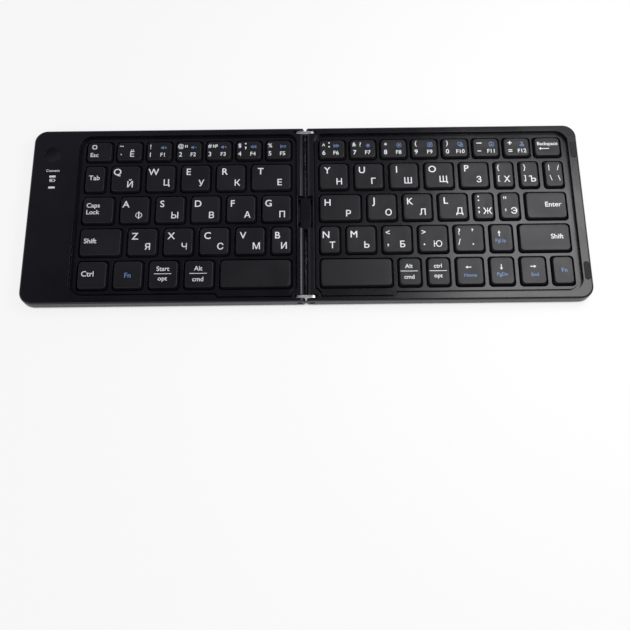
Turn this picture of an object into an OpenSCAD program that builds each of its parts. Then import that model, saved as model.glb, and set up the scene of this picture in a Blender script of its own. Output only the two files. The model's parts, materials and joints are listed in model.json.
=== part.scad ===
// Folding keyboard: two equal halves on a double-pivot hinge, lying open and flat.
// Millimetres. X runs along the keyboard, Y to the back, Z up from the table, and the hinge
// stands at X = 0. Each half is drawn outwards from the hinge, and the left one is mirrored.

/* [Keys] */
// Distance between the centres of two letter keys
key_pitch = 19; // [17.5:0.25:23]
// Distance between two rows of letter keys
row_pitch = 18.6; // [16:0.2:22.5]
// Depth taken by the row of number keys
number_row = 14.6; // [13:0.2:18]
// Gap between the tops of two neighbouring keys in a row
key_gap = 4.2; // [3.8:0.1:5.1]
// Gap between the tops of two neighbouring number keys
number_gap = 3.4; // [3:0.1:4.2]
// Gap between the tops of the keys of two rows
row_gap = 3.9; // [3.6:0.1:4.8]
// How far a key tapers in on each side from its foot to its top
key_taper = 0.9; // [0.5:0.05:1.1]
// Corner radius of a keycap
key_corner = 1.9; // [1:0.1:2.3]
// Wall of a keycap
key_wall = 0.9; // [0.7:0.05:1.1]
// Travel of a key
key_travel = 1.4; // [1.1:0.05:1.7]
// Gap between a key's foot and its well in the deck
well_gap = 0.25; // [0.15:0.05:0.3]

/* [Case] */
// Height of the rims above the table
case_h = 7.5; // [7:0.1:10]
// Height of the feet below the bottom covers
foot_h = 0.7; // [0.5:0.05:0.9]
// Thickness of a bottom cover
cover_t = 1.1; // [0.9:0.05:1.35]
// Thickness of a deck plate
deck_t = 1; // [0.8:0.05:1.2]
// How far a deck lies below the rims
deck_drop = 1.6; // [1.2:0.05:1.9]
// Radius of the outer corners
corner_r = 7; // [5:0.5:9]
// Rounding of the upper outer edges
edge_round = 1.2; // [0.8:0.1:1.4]
// Width of the front rim
rim_front = 4.1; // [3.9:0.1:6]
// Width of the back rim
rim_back = 3.7; // [3.5:0.1:6]
// Width of the rim at the right end
rim_side = 5; // [4.6:0.1:7]
// Width of the groove between a deck and its rim, at the front and the back
groove_w = 1.4; // [0.9:0.1:1.7]
// Width of that groove at the outer end
groove_side = 1.9; // [1.2:0.1:2.2]
// Width of the deck between its edge and the nearest well
deck_edge = 1.7; // [1.2:0.1:2.2]
// Length of the front step of each deck beside the hinge
jog_l = 39; // [25:1:60]

/* [Hinge] */
// Distance between the two rows of hinge pins
pin_pitch = 6.4; // [5.6:0.1:7.7]
// Gap between the rims of the closed keyboard
closed_gap = 0.4; // [0.3:0.05:0.8]
// Gap between the halves of the open keyboard
open_gap = 0.9; // [0.7:0.05:1.1]
// Diameter of a hinge pin
pin_d = 1.6; // [1.4:0.1:1.8]
// Running clearance round a pin, on the radius
pin_fit = 0.05; // [0.02:0.01:0.09]
// Thickness of a hinge link
link_t = 1.6; // [1.2:0.1:1.8]
// Length of the bridge that carries the flat cable
bridge_l = 18.4; // [14:0.2:22]

/* [Controls] */
// Diameter of the connect button
button_d = 9.4; // [7:0.2:11]
// Travel of the connect button
button_travel = 0.4; // [0.3:0.05:0.5]

/* [Hidden] */
$fn = 72;

// The rows from front to back, each from the hinge outwards, with the width of every key in
// key pitches. The last key of a row takes what is left, and number keys are all alike.
LEFT_ROWS = [
    [["space", 2.13], ["alt", 0.98], ["start", 0.98], ["fn", 0.98], ["ctrl", 0]],
    [["b", 0.73], ["v", 1], ["c", 1], ["x", 1], ["z", 1], ["shift", 0]],
    [["g", 1], ["f", 1], ["d", 1], ["s", 1], ["a", 1], ["caps", 0]],
    [["t", 1.31], ["r", 1], ["e", 1], ["w", 1], ["q", 1], ["tab", 0]]];
RIGHT_ROWS = [
    [["space", 2.15], ["alt", 0.79], ["ctrl", 0.79], ["left", 0.92], ["down", 0.84], ["right", 0.88],
        ["fn", 0]],
    [["n", 0.73], ["m", 1], ["comma", 1], ["stop", 1], ["slash", 1], ["up", 0.8], ["shift", 0]],
    [["h", 1.34], ["j", 1], ["k", 1], ["l", 1], ["semicolon", 0.73], ["quote", 0.73], ["enter", 0]],
    [["y", 1], ["u", 1], ["i", 1], ["o", 1], ["p", 1], ["open", 0.71], ["close", 0.71], ["backslash", 0]]];
LEFT_NUMBERS = ["5", "4", "3", "2", "1", "tick", "esc"];
RIGHT_NUMBERS = ["6", "7", "8", "9", "0", "minus", "equals", "backspace"];
LEFT_SPAN = 6.06 * key_pitch - key_gap;
RIGHT_SPAN = 7.125 * key_pitch - key_gap;

// Heights above the table
cover_z = foot_h;
case_z = cover_z + cover_t;
deck_top = case_h - deck_drop;
deck_z = deck_top - deck_t;
key_top = case_h - 0.1;
// The keys' feet hang a little below the deck, and the switches stand under them by the travel
foot_drop = 0.5;
foot_gap = 0.15;
plate_t = 0.5;
sheet_t = 0.25;
switch_d = foot_drop + key_travel + foot_gap + sheet_t + plate_t;
plate_z = max(case_z + 0.3, deck_z - switch_d);
sheet_z = plate_z + plate_t;
key_z = sheet_z + sheet_t + key_travel + foot_gap;
cap_t = 0.9;
key_roof = key_top - cap_t;
hinge_r = (pin_pitch - closed_gap) / 2;
axis_z = case_h - hinge_r;
pin_x = pin_pitch / 2;
link_r = min(axis_z - case_z, hinge_r) - 0.2;

// Places outwards from the hinge
edge_x = open_gap / 2;
rim_x = edge_x + 4.05;
groove_hinge = 0.7;
deck_x = rim_x + groove_hinge;
keys_x = deck_x + deck_edge + well_gap + key_taper;
half_w = keys_x + RIGHT_SPAN + key_taper + well_gap + deck_edge + groove_side + rim_side;
function deck_end(span) = keys_x + span + key_taper + well_gap + deck_edge;
function rim_end(span) = deck_end(span) + groove_side;

// Places from front to back, about the middle of the case
rows_d = 4 * row_pitch + number_row - row_gap;
case_d = rim_front + rim_back + 2 * (groove_w + deck_edge + well_gap + key_taper) + rows_d;
back_y = case_d / 2;
rim_y0 = -back_y + rim_front;
rim_y1 = back_y - rim_back;
deck_y0 = rim_y0 + groove_w;
deck_y1 = rim_y1 - groove_w;
keys_y = deck_y0 + deck_edge + well_gap + key_taper;
jog_d = 2;
jog_x = edge_x + 6.9;
ledge_w = 0.8;

// Hinge ends
end_wall = 1.75;
link_play = 0.15;
link_y = back_y - end_wall - link_play - link_t / 2;
pin_l = 7.6;
head_d = 2.6;
head_t = 0.5;
head_room = 0.9;
bridge_w = pin_pitch - 0.7;
bridge_top = axis_z + 0.6;
bridge_x = pin_x + 0.8;
stub_d = 0.8;
stub_l = 1.4;
flex_w = 10;
flex_t = 0.15;
flex_slot = 0.3;
flex_x = deck_x + ledge_w + 0.5;
// The flat cable runs this far under the left base plate
flex_drop = 0.15;
flex_low = plate_z - flex_drop;
rib_t = 1.2;
rib_y = [12, 27, 42];

// Wide band at the left end, with the electronics under it
strip_x = rim_end(LEFT_SPAN);
strip_wall = 1.8;
strip_skin = 1.2;
strip_x0 = strip_x + 1.2;
strip_x1 = half_w - strip_wall;
mid_x = (strip_x + half_w) / 2 + 0.8;
board_z = case_z + 0.5;
board_t = 0.8;
board_top = board_z + board_t;
board_x = strip_x0 + 1.6;
riser_x = board_x - 0.9;
plug_x = board_x + 1.2;
plug_h = 1.1;
plug_entry = 0.5;
board_y0 = -9;
board_y1 = back_y - 3.4;
tail_y = 30;
tail_w = 12;
button_x = mid_x + 0.8;
button_y = 35.6;
light_y = [22.5, 15.9];
light_w = 3.5;
light_d = 1.2;
socket_y = 5;
socket_w = 7.5;
socket_h = 2.6;
socket_fold = 0.8;
screw_x = [14, 0.51 * half_w, half_w - 11];
screw_y = back_y - 3.3;
screw_d = 1.4;
screw_l = 2.3;
screw_hole_d = 1.7;
sink_d = 3;
sink_h = 0.7;
head_gap = 0.04;
slot_l = 1.8;
slot_w = 0.3;
boss_d = 4.6;
foot_x = [15, half_w - 15];
foot_y = back_y - 12;
foot_d = 8;
foot_seat = 0.2;
foot_bevel = 0.4;
pad_w = 2.8;
pad_l = 10;
pad_y = 35.5;
pad_x = half_w - 2.6;
pad_rise = 0.2;
pad_seat = 0.6;

PLASTIC = "#26252b";
DARK = "#17171b";
KEY = "#33323a";
STEEL = "#b9bcc2";
RUBBER = "#3a393d";

// Keys: [name, x, y, width, depth] of the top face, from the hinge outwards
function sum_to(v, i) = i == 0 ? 0 : v[i - 1][1] + sum_to(v, i - 1);
function row_keys(row, r, span) = [for (i = [0 : len(row) - 1])
    let (x0 = keys_x + sum_to(row, i) * key_pitch,
         w = i == len(row) - 1 ? keys_x + span - x0 : row[i][1] * key_pitch - key_gap,
         d = row_pitch - row_gap)
    [row[i][0], x0 + w / 2, keys_y + r * row_pitch + d / 2, w, d]];
function number_keys(names, span) = [for (i = [0 : len(names) - 1])
    let (p = (span + number_gap) / len(names), d = number_row - row_gap)
    [names[i], keys_x + (i + 0.5) * p - number_gap / 2, keys_y + 4 * row_pitch + d / 2, p - number_gap, d]];
LEFT_KEYS = concat([for (r = [0 : 3]) each row_keys(LEFT_ROWS[r], r, LEFT_SPAN)],
    number_keys(LEFT_NUMBERS, LEFT_SPAN));
RIGHT_KEYS = concat([for (r = [0 : 3]) each row_keys(RIGHT_ROWS[r], r, RIGHT_SPAN)],
    number_keys(RIGHT_NUMBERS, RIGHT_SPAN));

// Flat shapes
module corner_cut(x, y, sx, sy, r) {
    translate([x, y]) mirror([sx < 0 ? 1 : 0, 0]) mirror([0, sy < 0 ? 1 : 0]) difference() {
        translate([-1, -1]) square(r + 1);
        translate([r, r]) circle(r);
    }
}

// Rectangle with its own radius at each corner: front near, front far, back far, back near
module soft_rect(x0, x1, y0, y1, r) {
    difference() {
        translate([x0, y0]) square([x1 - x0, y1 - y0]);
        if (r[0] > 0) corner_cut(x0, y0, 1, 1, r[0]);
        if (r[1] > 0) corner_cut(x1, y0, -1, 1, r[1]);
        if (r[2] > 0) corner_cut(x1, y1, -1, -1, r[2]);
        if (r[3] > 0) corner_cut(x0, y1, 1, -1, r[3]);
    }
}

module slot_shape(l, r) {
    square([l - 2 * r, 2 * r], center = true);
    for (s = [-1, 1]) translate([s * (l / 2 - r), 0]) circle(r);
}

// Outline of a deck and, grown by the groove, of the opening in its rim
module deck_outline(span, grow) {
    side = grow == 0 ? 0 : groove_side;
    near = grow == 0 ? 0 : groove_hinge;
    inset = groove_hinge - near;
    y0 = deck_y0 - grow;
    chamfer = 3;
    jog_slope = 1.4;
    difference() {
        soft_rect(deck_x - near, deck_end(span) + side, y0, deck_y1 + grow,
            [0, 5.6 + grow, 5.6 + grow, 4.4 + near]);
        translate([deck_x - near, y0]) rotate(45) square(chamfer * sqrt(2), center = true);
    }
    translate([jog_x, y0]) polygon([[inset, 0.5], [inset, -jog_d], [jog_l - inset, -jog_d],
        [jog_l - inset + jog_slope, 0], [jog_l - inset + jog_slope, 0.5]]);
}

// Room under the deck
module under_deck(span, gap) {
    soft_rect(deck_x + ledge_w + gap, deck_end(span) - ledge_w - gap, deck_y0 + ledge_w + gap,
        deck_y1 - ledge_w - gap, [3, 4.8, 4.8, 3.6]);
}

// Slab with its upper edges rounded at the front, the outer end and the back
module rounded_edge(h, e) {
    square([e, h - e]);
    intersection() {
        translate([0, h - e]) circle(e);
        translate([0, h - e]) square(e);
    }
}

module rounded_slab(x0, x1, hy, h, e, r) {
    linear_extrude(h) soft_rect(x0, x1 - e, -hy + e, hy - e, [0, r - e, r - e, 0]);
    for (s = [-1, 1]) {
        translate([x0 + e, s * (hy - e), 0]) rotate([90, 0, 90])
            linear_extrude(x1 - r - x0 - e) mirror([s > 0 ? 0 : 1, 0]) rounded_edge(h, e);
        translate([x1 - r, s * (hy - r), 0]) rotate([0, 0, s > 0 ? 0 : -90])
            rotate_extrude(angle = 90) translate([r - e, 0]) rounded_edge(h, e);
        translate([x0 + e, s * (hy - e), 0]) rotate([0, 0, s > 0 ? 90 : 180])
            rotate_extrude(angle = 90) rounded_edge(h, e);
    }
    translate([x1 - e, hy - r, 0]) rotate([90, 0, 0]) linear_extrude(2 * (hy - r)) rounded_edge(h, e);
}

// Draws along the case from front to back what is given as a shape in X and Z
module along_y(l) {
    translate([0, l / 2, 0]) rotate([90, 0, 0]) linear_extrude(l) children();
}

// A half turns about its pins, so its upper edge at the hinge is round
module hinge_side() {
    lift = 0.03;
    translate([edge_x, 0]) square([half_w, axis_z + lift]);
    translate([edge_x + hinge_r, 0]) square([half_w, case_h + 2]);
    translate([edge_x + hinge_r, axis_z + lift]) circle(hinge_r);
}

// What the bridge needs between the halves, with a rounded lip
module bridge_gap() {
    lip = 0.4;
    square([bridge_x, case_h + 1]);
    translate([0, case_h - lip]) difference() {
        square([bridge_x + lip, lip + 1]);
        translate([bridge_x + lip, 0.02]) circle(lip);
    }
}

module pin_hole(s) {
    translate([pin_x, s * back_y, axis_z]) rotate([s * 90, 0, 0]) {
        translate([0, 0, -1]) cylinder(d = head_d + 0.3, h = head_room + 1);
        cylinder(d = pin_d + 2 * pin_fit, h = pin_l + 0.8);
    }
}

module screw_places() {
    for (x = screw_x, s = [-1, 1]) translate([x, s * screw_y]) children();
}

module case_frame(span) {
    difference() {
        intersection() {
            translate([0, 0, case_z])
                rounded_slab(edge_x, half_w, back_y, case_h - case_z, edge_round, corner_r);
            along_y(case_d + 2) hinge_side();
        }
        translate([0, 0, deck_z]) linear_extrude(case_h) deck_outline(span, groove_w);
        translate([0, 0, case_z - 1]) linear_extrude(case_h) under_deck(span, 0);
        for (s = [-1, 1]) {
            translate([-1, s * link_y - link_t / 2 - link_play, case_z - 1])
                cube([pin_x + link_r + 1.3, link_t + 2 * link_play, case_h]);
            pin_hole(s);
            translate([pin_x, 0, axis_z]) rotate([s * 90, 0, 0])
                cylinder(d = stub_d + 2 * pin_fit, h = bridge_l / 2 + stub_l + 0.4, $fn = 32);
        }
        along_y(bridge_l + 0.4) bridge_gap();
        translate([0, -flex_w / 2 - 0.3, axis_z - flex_slot])
            cube([deck_x + ledge_w + 1, flex_w + 0.6, 2 * flex_slot]);
        translate([0, 0, case_z - 1]) linear_extrude(screw_l + 1.3)
            screw_places() circle(d = screw_d + 0.1, $fn = 24);
    }
}

module left_frame() {
    skin_z = case_h - strip_skin;
    color(PLASTIC) mirror([1, 0, 0]) difference() {
        case_frame(LEFT_SPAN);
        // Room for the battery and the board, round the two screw bosses
        translate([0, 0, case_z - 1]) linear_extrude(skin_z - case_z + 1) difference() {
            soft_rect(strip_x0, strip_x1, -back_y + strip_wall, back_y - strip_wall,
                [1, corner_r - strip_wall, corner_r - strip_wall, 1]);
            for (s = [-1, 1]) translate([screw_x[2], s * screw_y]) circle(d = boss_d);
        }
        // Passages for the flat cable and the tail of the dome sheet
        translate([deck_end(LEFT_SPAN) - 2, -flex_w / 2 - 0.5, case_z - 1])
            cube([6, flex_w + 1, flex_low + 0.75 - case_z + 1]);
        translate([deck_end(LEFT_SPAN) - 2, tail_y - tail_w / 2 - 0.5, case_z - 1])
            cube([6, tail_w + 1, sheet_z + sheet_t + 0.2 - case_z + 1]);
        translate([button_x, button_y, skin_z - 1]) cylinder(d = button_d + 0.2, h = 5);
        for (y = light_y) translate([mid_x, y, skin_z - 1]) linear_extrude(5)
            square([light_w + 0.1, light_d + 0.1], center = true);
        translate([half_w - 4, socket_y, board_top + socket_h / 2]) rotate([90, 0, 90])
            linear_extrude(6) slot_shape(socket_w + 1.4, (socket_h + 0.9) / 2);
    }
}

module right_frame() {
    color(PLASTIC) difference() {
        case_frame(RIGHT_SPAN);
        for (s = [-1, 1]) translate([pad_x, s * pad_y, case_h - pad_seat]) rotate([0, 0, 90])
            linear_extrude(2) slot_shape(pad_l + 0.1, pad_w / 2 + 0.05);
    }
}

// Bottom cover with sunk screw heads, shallow seats for the feet and ribs under the base plate
module bottom_cover(span) {
    difference() {
        translate([0, 0, case_z]) mirror([0, 0, 1])
            rounded_slab(edge_x + 1, half_w - 0.35, back_y - 0.35, cover_t, 0.6, corner_r - 0.35);
        along_y(bridge_l + 0.4) square([bridge_x, case_z + 1]);
        screw_places() {
            translate([0, 0, cover_z - 0.01])
                cylinder(d1 = sink_d, d2 = screw_hole_d, h = sink_h, $fn = 32);
            cylinder(d = screw_hole_d, h = case_z + 1, $fn = 32);
        }
        for (x = foot_x, s = [-1, 1]) translate([x, s * foot_y, cover_z - 1])
            cylinder(d = foot_d + 0.1, h = foot_seat + 1);
    }
    for (y = rib_y, s = [-1, 1])
        translate([flex_x + 2, s * y - rib_t / 2, case_z - 0.2])
            cube([deck_end(span) - 2 - flex_x - 2, rib_t, plate_z - case_z + 0.2]);
}

module left_bottom_cover() {
    color(DARK) mirror([1, 0, 0]) {
        bottom_cover(LEFT_SPAN);
        // Rests for the board
        for (y = [board_y0 + 2, (board_y0 + board_y1) / 2, board_y1 - 9])
            translate([board_x + 2, y, case_z - 0.2])
                cube([strip_x1 - board_x - 5, rib_t, board_z - case_z + 0.2]);
    }
}

module right_bottom_cover() { color(DARK) bottom_cover(RIGHT_SPAN); }

module screws() {
    screw_places() {
        translate([0, 0, cover_z + 0.02]) difference() {
            cylinder(d1 = sink_d - 4 * head_gap, d2 = screw_d, h = sink_h - head_gap, $fn = 32);
            for (a = [0, 90]) rotate([0, 0, a]) translate([-slot_l / 2, -slot_w / 2, -0.01])
                cube([slot_l, slot_w, slot_w]);
        }
        translate([0, 0, cover_z + 0.6])
            cylinder(d = screw_d, h = case_z + screw_l - cover_z - 0.6, $fn = 24);
    }
}

module left_screws() { color(STEEL) mirror([1, 0, 0]) screws(); }

module right_screws() { color(STEEL) screws(); }

module feet() {
    for (x = foot_x, s = [-1, 1]) translate([x, s * foot_y, 0]) {
        cylinder(d1 = foot_d - 2 * foot_bevel, d2 = foot_d, h = foot_bevel);
        translate([0, 0, foot_bevel]) cylinder(d = foot_d, h = foot_h + foot_seat - foot_bevel);
    }
}

module left_feet() { color(RUBBER) mirror([1, 0, 0]) feet(); }

module right_feet() { color(RUBBER) feet(); }

// Deck with a well for each key
module key_plate(span, keys) {
    translate([0, 0, deck_z]) linear_extrude(deck_t) difference() {
        deck_outline(span, 0);
        for (k = keys) {
            gx = k[3] / 2 + key_taper + well_gap;
            gy = k[4] / 2 + key_taper + well_gap;
            r = key_corner + well_gap;
            translate([k[1], k[2]]) soft_rect(-gx, gx, -gy, gy, [r, r, r, r]);
        }
    }
}

module left_key_plate() { color(PLASTIC) mirror([1, 0, 0]) key_plate(LEFT_SPAN, LEFT_KEYS); }

module right_key_plate() { color(PLASTIC) key_plate(RIGHT_SPAN, RIGHT_KEYS); }

// Notch at the hinge end of the plate and the sheet, where the flat cable bends
module flex_notch() {
    room = 0.6;
    translate([deck_x, -flex_w / 2 - room]) square([flex_x - deck_x + 1, flex_w + 2 * room]);
}

// Steel backing plate under the switches, notched for the flat cable
module base_plate(span) {
    color(STEEL) translate([0, 0, plate_z]) linear_extrude(plate_t) difference() {
        under_deck(span, 0.3);
        flex_notch();
    }
}

module left_base_plate() { mirror([1, 0, 0]) base_plate(LEFT_SPAN); }

module right_base_plate() { base_plate(RIGHT_SPAN); }

// Switches
scissor_bar = 0.8;
scissor_low = sheet_z + sheet_t + 0.1 + scissor_bar / 2;
scissor_high = key_roof - 0.1 - scissor_bar / 2;
function scissor_w(k) = min(k[3] - 2 * key_wall - 0.6, 11);
function scissor_d(k) = min(k[4] - 2 * key_wall - 0.6, 11);
function dome_d(k) = min(scissor_w(k) - 4 * scissor_bar - 0.7, 5.6);

module dome(d) {
    top = key_roof - 0.1 - sheet_z - sheet_t;
    cylinder(d = d + 0.4, h = 0.3, $fn = 32);
    cylinder(d1 = d, d2 = 0.62 * d, h = 0.8 * top, $fn = 32);
    cylinder(d = 0.5 * d, h = top, $fn = 32);
}

module domes(keys) {
    for (k = keys) translate([k[1], k[2], sheet_z + sheet_t - 0.02]) dome(dome_d(k));
}

module left_dome_sheet() {
    color("#8a8d92") mirror([1, 0, 0]) {
        translate([0, 0, sheet_z]) linear_extrude(sheet_t) difference() {
            under_deck(LEFT_SPAN, 0.4);
            flex_notch();
        }
        domes(LEFT_KEYS);
        // Tail to the board
        z = sheet_z + sheet_t / 2;
        ribbon([[deck_end(LEFT_SPAN) - ledge_w - 1, z], [riser_x, z], [riser_x, board_top + plug_entry],
            [plug_x - 0.1, board_top + plug_entry]], tail_y, tail_w);
    }
}

module right_dome_sheet() {
    color("#8a8d92") {
        translate([0, 0, sheet_z]) linear_extrude(sheet_t) difference() {
            under_deck(RIGHT_SPAN, 0.4);
            flex_notch();
        }
        domes(RIGHT_KEYS);
        ribbon([[pin_x + 0.1, axis_z], [flex_x, axis_z], [flex_x, sheet_z + sheet_t / 2],
            [flex_x + 2.5, sheet_z + sheet_t / 2]]);
    }
}

// Ring of a scissor, tilted so that one end is at the sheet and the other under the cap
module scissor_ring(w, d, tilt) {
    rotate([tilt, 0, 0]) difference() {
        cube([w, d, scissor_bar], center = true);
        cube([w - 2 * scissor_bar, d - 2 * scissor_bar, 2 * scissor_bar], center = true);
    }
}

module scissor(w, d) {
    rise = scissor_high - scissor_low - 0.25;
    tilt = asin(rise / (d - scissor_bar));
    translate([0, 0, (scissor_high + scissor_low) / 2]) {
        scissor_ring(w, d, tilt);
        scissor_ring(w - 2 * scissor_bar - 0.3, d - 0.6, -tilt);
        rotate([0, 90, 0]) cylinder(d = 0.5, h = w - scissor_bar, center = true, $fn = 16);
    }
}

// A space key has two scissors
module scissors(keys) {
    for (k = keys) {
        spread = k[0] == "space" ? k[3] / 4 : 0;
        for (s = spread > 0 ? [-1, 1] : [0])
            translate([k[1] + s * spread, k[2], 0]) difference() {
                scissor(scissor_w(k), scissor_d(k));
                if (spread == 0)
                    translate([0, 0, sheet_z]) cylinder(d = dome_d(k) + 0.5, h = case_h, $fn = 32);
            }
    }
}

module left_scissors() { color("#d8d8d4") mirror([1, 0, 0]) scissors(LEFT_KEYS); }

module right_scissors() { color("#d8d8d4") scissors(RIGHT_KEYS); }

// Keycap: a hollow tapered shell with a slightly dished top
function ring(w, d, r, z) = [for (q = [0 : 3], k = [0 : 2])
    let (a = 90 * q + 45 * k, sx = q == 0 || q == 3 ? 1 : -1, sy = q < 2 ? 1 : -1)
    [sx * (w / 2 - r) + r * cos(a), sy * (d / 2 - r) + r * sin(a), z]];

module keycap(w, d) {
    bevel = 0.35;
    dish = 0.12;
    fw = w + 2 * key_taper;
    fd = d + 2 * key_taper;
    rings = [ring(w - 2 * key_wall, d - 2 * key_wall, 1, key_roof),
        ring(fw - 2 * key_wall, fd - 2 * key_wall, 1, key_z),
        ring(fw, fd, key_corner, key_z),
        ring(w, d, key_corner, key_top - bevel),
        ring(w - 2 * bevel, d - 2 * bevel, key_corner - bevel / 2, key_top)];
    n = len(rings[0]);
    last = len(rings) - 1;
    points = concat([for (r = rings) each r], [[0, 0, key_top - dish]]);
    faces = concat(
        [[for (i = [0 : n - 1]) i]],
        [for (j = [0 : last - 1], i = [0 : n - 1])
            let (k = (i + 1) % n) [j * n + i, (j + 1) * n + i, (j + 1) * n + k, j * n + k]],
        [for (i = [0 : n - 1]) [last * n + (i + 1) % n, last * n + i, len(points) - 1]]);
    polyhedron(points, faces);
}

module keycaps(keys, names) {
    color(KEY) for (k = keys) if (len([for (m = names) if (m == k[0]) m]) > 0)
        translate([k[1], k[2], 0]) keycap(k[3], k[4]);
}

module left_keys(names) { mirror([1, 0, 0]) keycaps(LEFT_KEYS, names); }

module right_keys(names) { keycaps(RIGHT_KEYS, names); }

// Electronics in the band at the left end
module battery() {
    color("#9aa0a8") mirror([1, 0, 0]) {
        x0 = board_x;
        x1 = strip_x1 - 0.8;
        y0 = -back_y + 8;
        y1 = board_y0 - 1.5;
        translate([0, 0, case_z + 0.05]) linear_extrude(3.4)
            soft_rect(x0, x1, y0, y1 - 2, [1.2, 1.2, 1.2, 1.2]);
        translate([x0 + 1, y1 - 2.01, case_z + 1]) cube([x1 - x0 - 2, 2, 1.2]);
    }
}

// Socket for a flat cable of width w
module plug(y, w) {
    side = 0.8;
    translate([plug_x, y - w / 2 - side, 0]) cube([3, w + 2 * side, plug_h]);
}

// Chips as [x from the band's middle, y, width, depth, height], and the size of a small component
CHIPS = [[-8, 13, 6, 6, 0.9], [-4.5, 25.5, 4, 4, 0.8], [-3, -6, 5, 4, 1.3]];
LAMP = [1.6, 0.8, 0.6];

module main_board() {
    x1 = strip_x1 - 0.4;
    mirror([1, 0, 0]) {
        color("#1d5a3a") translate([0, 0, board_z]) linear_extrude(board_t) difference() {
            soft_rect(board_x, x1, board_y0, board_y1, [1, 1, 4.5, 3]);
            translate([screw_x[2], screw_y]) circle(d = 5.4);
        }
        color("#22242a") translate([0, 0, board_top - 0.01]) {
            plug(0, flex_w);
            plug(tail_y, tail_w);
            for (c = CHIPS) translate([mid_x + c[0], c[1], 0]) cube([c[2], c[3], c[4]]);
            for (y = light_y) translate([mid_x - LAMP[0] / 2, y - LAMP[1] / 2, 0]) cube(LAMP);
            for (i = [0 : 4]) translate([mid_x + 3.2, 12 + 3 * i, 0]) cube(LAMP);
        }
        color(STEEL) translate([button_x, button_y, board_top - 0.01]) {
            translate([-2.2, -2.2, 0]) cube([4.4, 4.4, 0.9]);
            cylinder(d = 1.8, h = 1.15, $fn = 32);
        }
    }
}

// Mouth of the socket, with its two lower corners cut off, inset by a wall
module socket_shape(inset, fold) {
    x = socket_w / 2;
    polygon([[-x + inset, fold], [-x + fold, inset], [x - fold, inset], [x - inset, fold],
        [x - inset, socket_h - inset], [-x + inset, socket_h - inset]]);
}

module usb_socket() {
    wall = 0.3;
    depth = 5;
    color(STEEL) mirror([1, 0, 0])
        translate([half_w - 0.5 - depth, socket_y, board_top + 0.01]) rotate([90, 0, 90]) {
            linear_extrude(depth) difference() {
                socket_shape(0, socket_fold);
                socket_shape(wall, socket_fold + 0.1);
            }
            linear_extrude(wall) translate([-socket_w / 2 + 1, 0.1]) square([socket_w - 2, socket_h - 0.2]);
            translate([-1.9, socket_h / 2, 0]) cube([3.8, 0.6, depth - 1]);
        }
}

module status_lights() {
    z0 = board_top + 0.7;
    color("#e6e8ea") mirror([1, 0, 0]) for (y = light_y) translate([mid_x, y, z0])
        linear_extrude(case_h - 0.03 - z0) square([light_w, light_d], center = true);
}

module connect_button() {
    skin_z = case_h - strip_skin;
    dish_r = 30;
    button_dish = 0.4;
    color(PLASTIC) mirror([1, 0, 0]) translate([button_x, button_y, 0]) {
        difference() {
            translate([0, 0, skin_z - 0.7]) cylinder(d = button_d, h = strip_skin + 0.65);
            translate([0, 0, case_h - button_dish + dish_r]) sphere(r = dish_r);
        }
        translate([0, 0, skin_z - 0.75]) cylinder(d = button_d + 1.4, h = 0.7);
        translate([0, 0, board_top + 1.15 + button_travel + 0.05])
            cylinder(d = 3, h = skin_z - board_top - 1.15 - button_travel - 0.4, $fn = 32);
    }
}

// Flat cable, drawn as a folded strip from its points in X and Z
module ribbon(points, y = 0, w = flex_w) {
    for (i = [0 : len(points) - 2]) {
        a = points[i];
        b = points[i + 1];
        x = min(a[0], b[0]) - flex_t / 2;
        z = min(a[1], b[1]) - flex_t / 2;
        translate([x, y - w / 2, z])
            cube([abs(b[0] - a[0]) + flex_t, w, abs(b[1] - a[1]) + flex_t]);
    }
}

module cross_flex() {
    entry = board_top + plug_entry;
    color("#c9812f") mirror([1, 0, 0]) ribbon([[pin_x + 0.1, axis_z], [flex_x, axis_z],
        [flex_x, flex_low], [riser_x, flex_low], [riser_x, entry], [plug_x - 0.1, entry]]);
}

module hinge_flex() {
    color("#c9812f") translate([-pin_x + 0.1, -flex_w / 2, axis_z - flex_t / 2])
        cube([pin_pitch - 0.2, flex_w, flex_t]);
}

// Hinge: two steel links, four pins and the bridge between the halves
module hinge_links() {
    color(STEEL) for (s = [-1, 1]) translate([0, s * link_y, axis_z]) rotate([90, 0, 0])
        linear_extrude(link_t, center = true) difference() {
            slot_shape(pin_pitch + 2 * link_r, link_r);
            for (t = [-1, 1]) translate([t * pin_x, 0]) circle(d = pin_d + 0.04, $fn = 32);
        }
}

module hinge_pins() {
    color("#8f9298") for (s = [-1, 1], t = [-1, 1])
        translate([t * pin_x, s * (back_y - head_room + 0.1), axis_z]) rotate([s * 90, 0, 0]) {
            translate([0, 0, -head_t]) cylinder(d = head_d, h = head_t, $fn = 32);
            cylinder(d = pin_d, h = pin_l - head_room, $fn = 32);
        }
}

module hinge_bridge() {
    ear_t = 0.8;
    r = 0.5;
    low = case_z - cover_t + 0.4;
    color(DARK) {
        difference() {
            along_y(bridge_l) {
                translate([-bridge_w / 2, low]) square([bridge_w, bridge_top - r - low]);
                translate([-bridge_w / 2 + r, low]) square([bridge_w - 2 * r, bridge_top - low]);
                for (s = [-1, 1]) translate([s * (bridge_w / 2 - r), bridge_top - r]) circle(r, $fn = 32);
            }
            translate([-bridge_w, -flex_w / 2 - 0.2, axis_z - flex_slot / 2])
                cube([2 * bridge_w, flex_w + 0.4, flex_slot]);
        }
        for (s = [-1, 1], t = [-1, 1])
            translate([t * pin_x, s * bridge_l / 2, axis_z]) rotate([s * 90, 0, 0]) {
            cylinder(r = 0.7, h = ear_t, $fn = 32);
            translate([0, 0, -stub_l]) cylinder(d = stub_d, h = stub_l + 0.2, $fn = 32);
        }
    }
}

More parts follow.
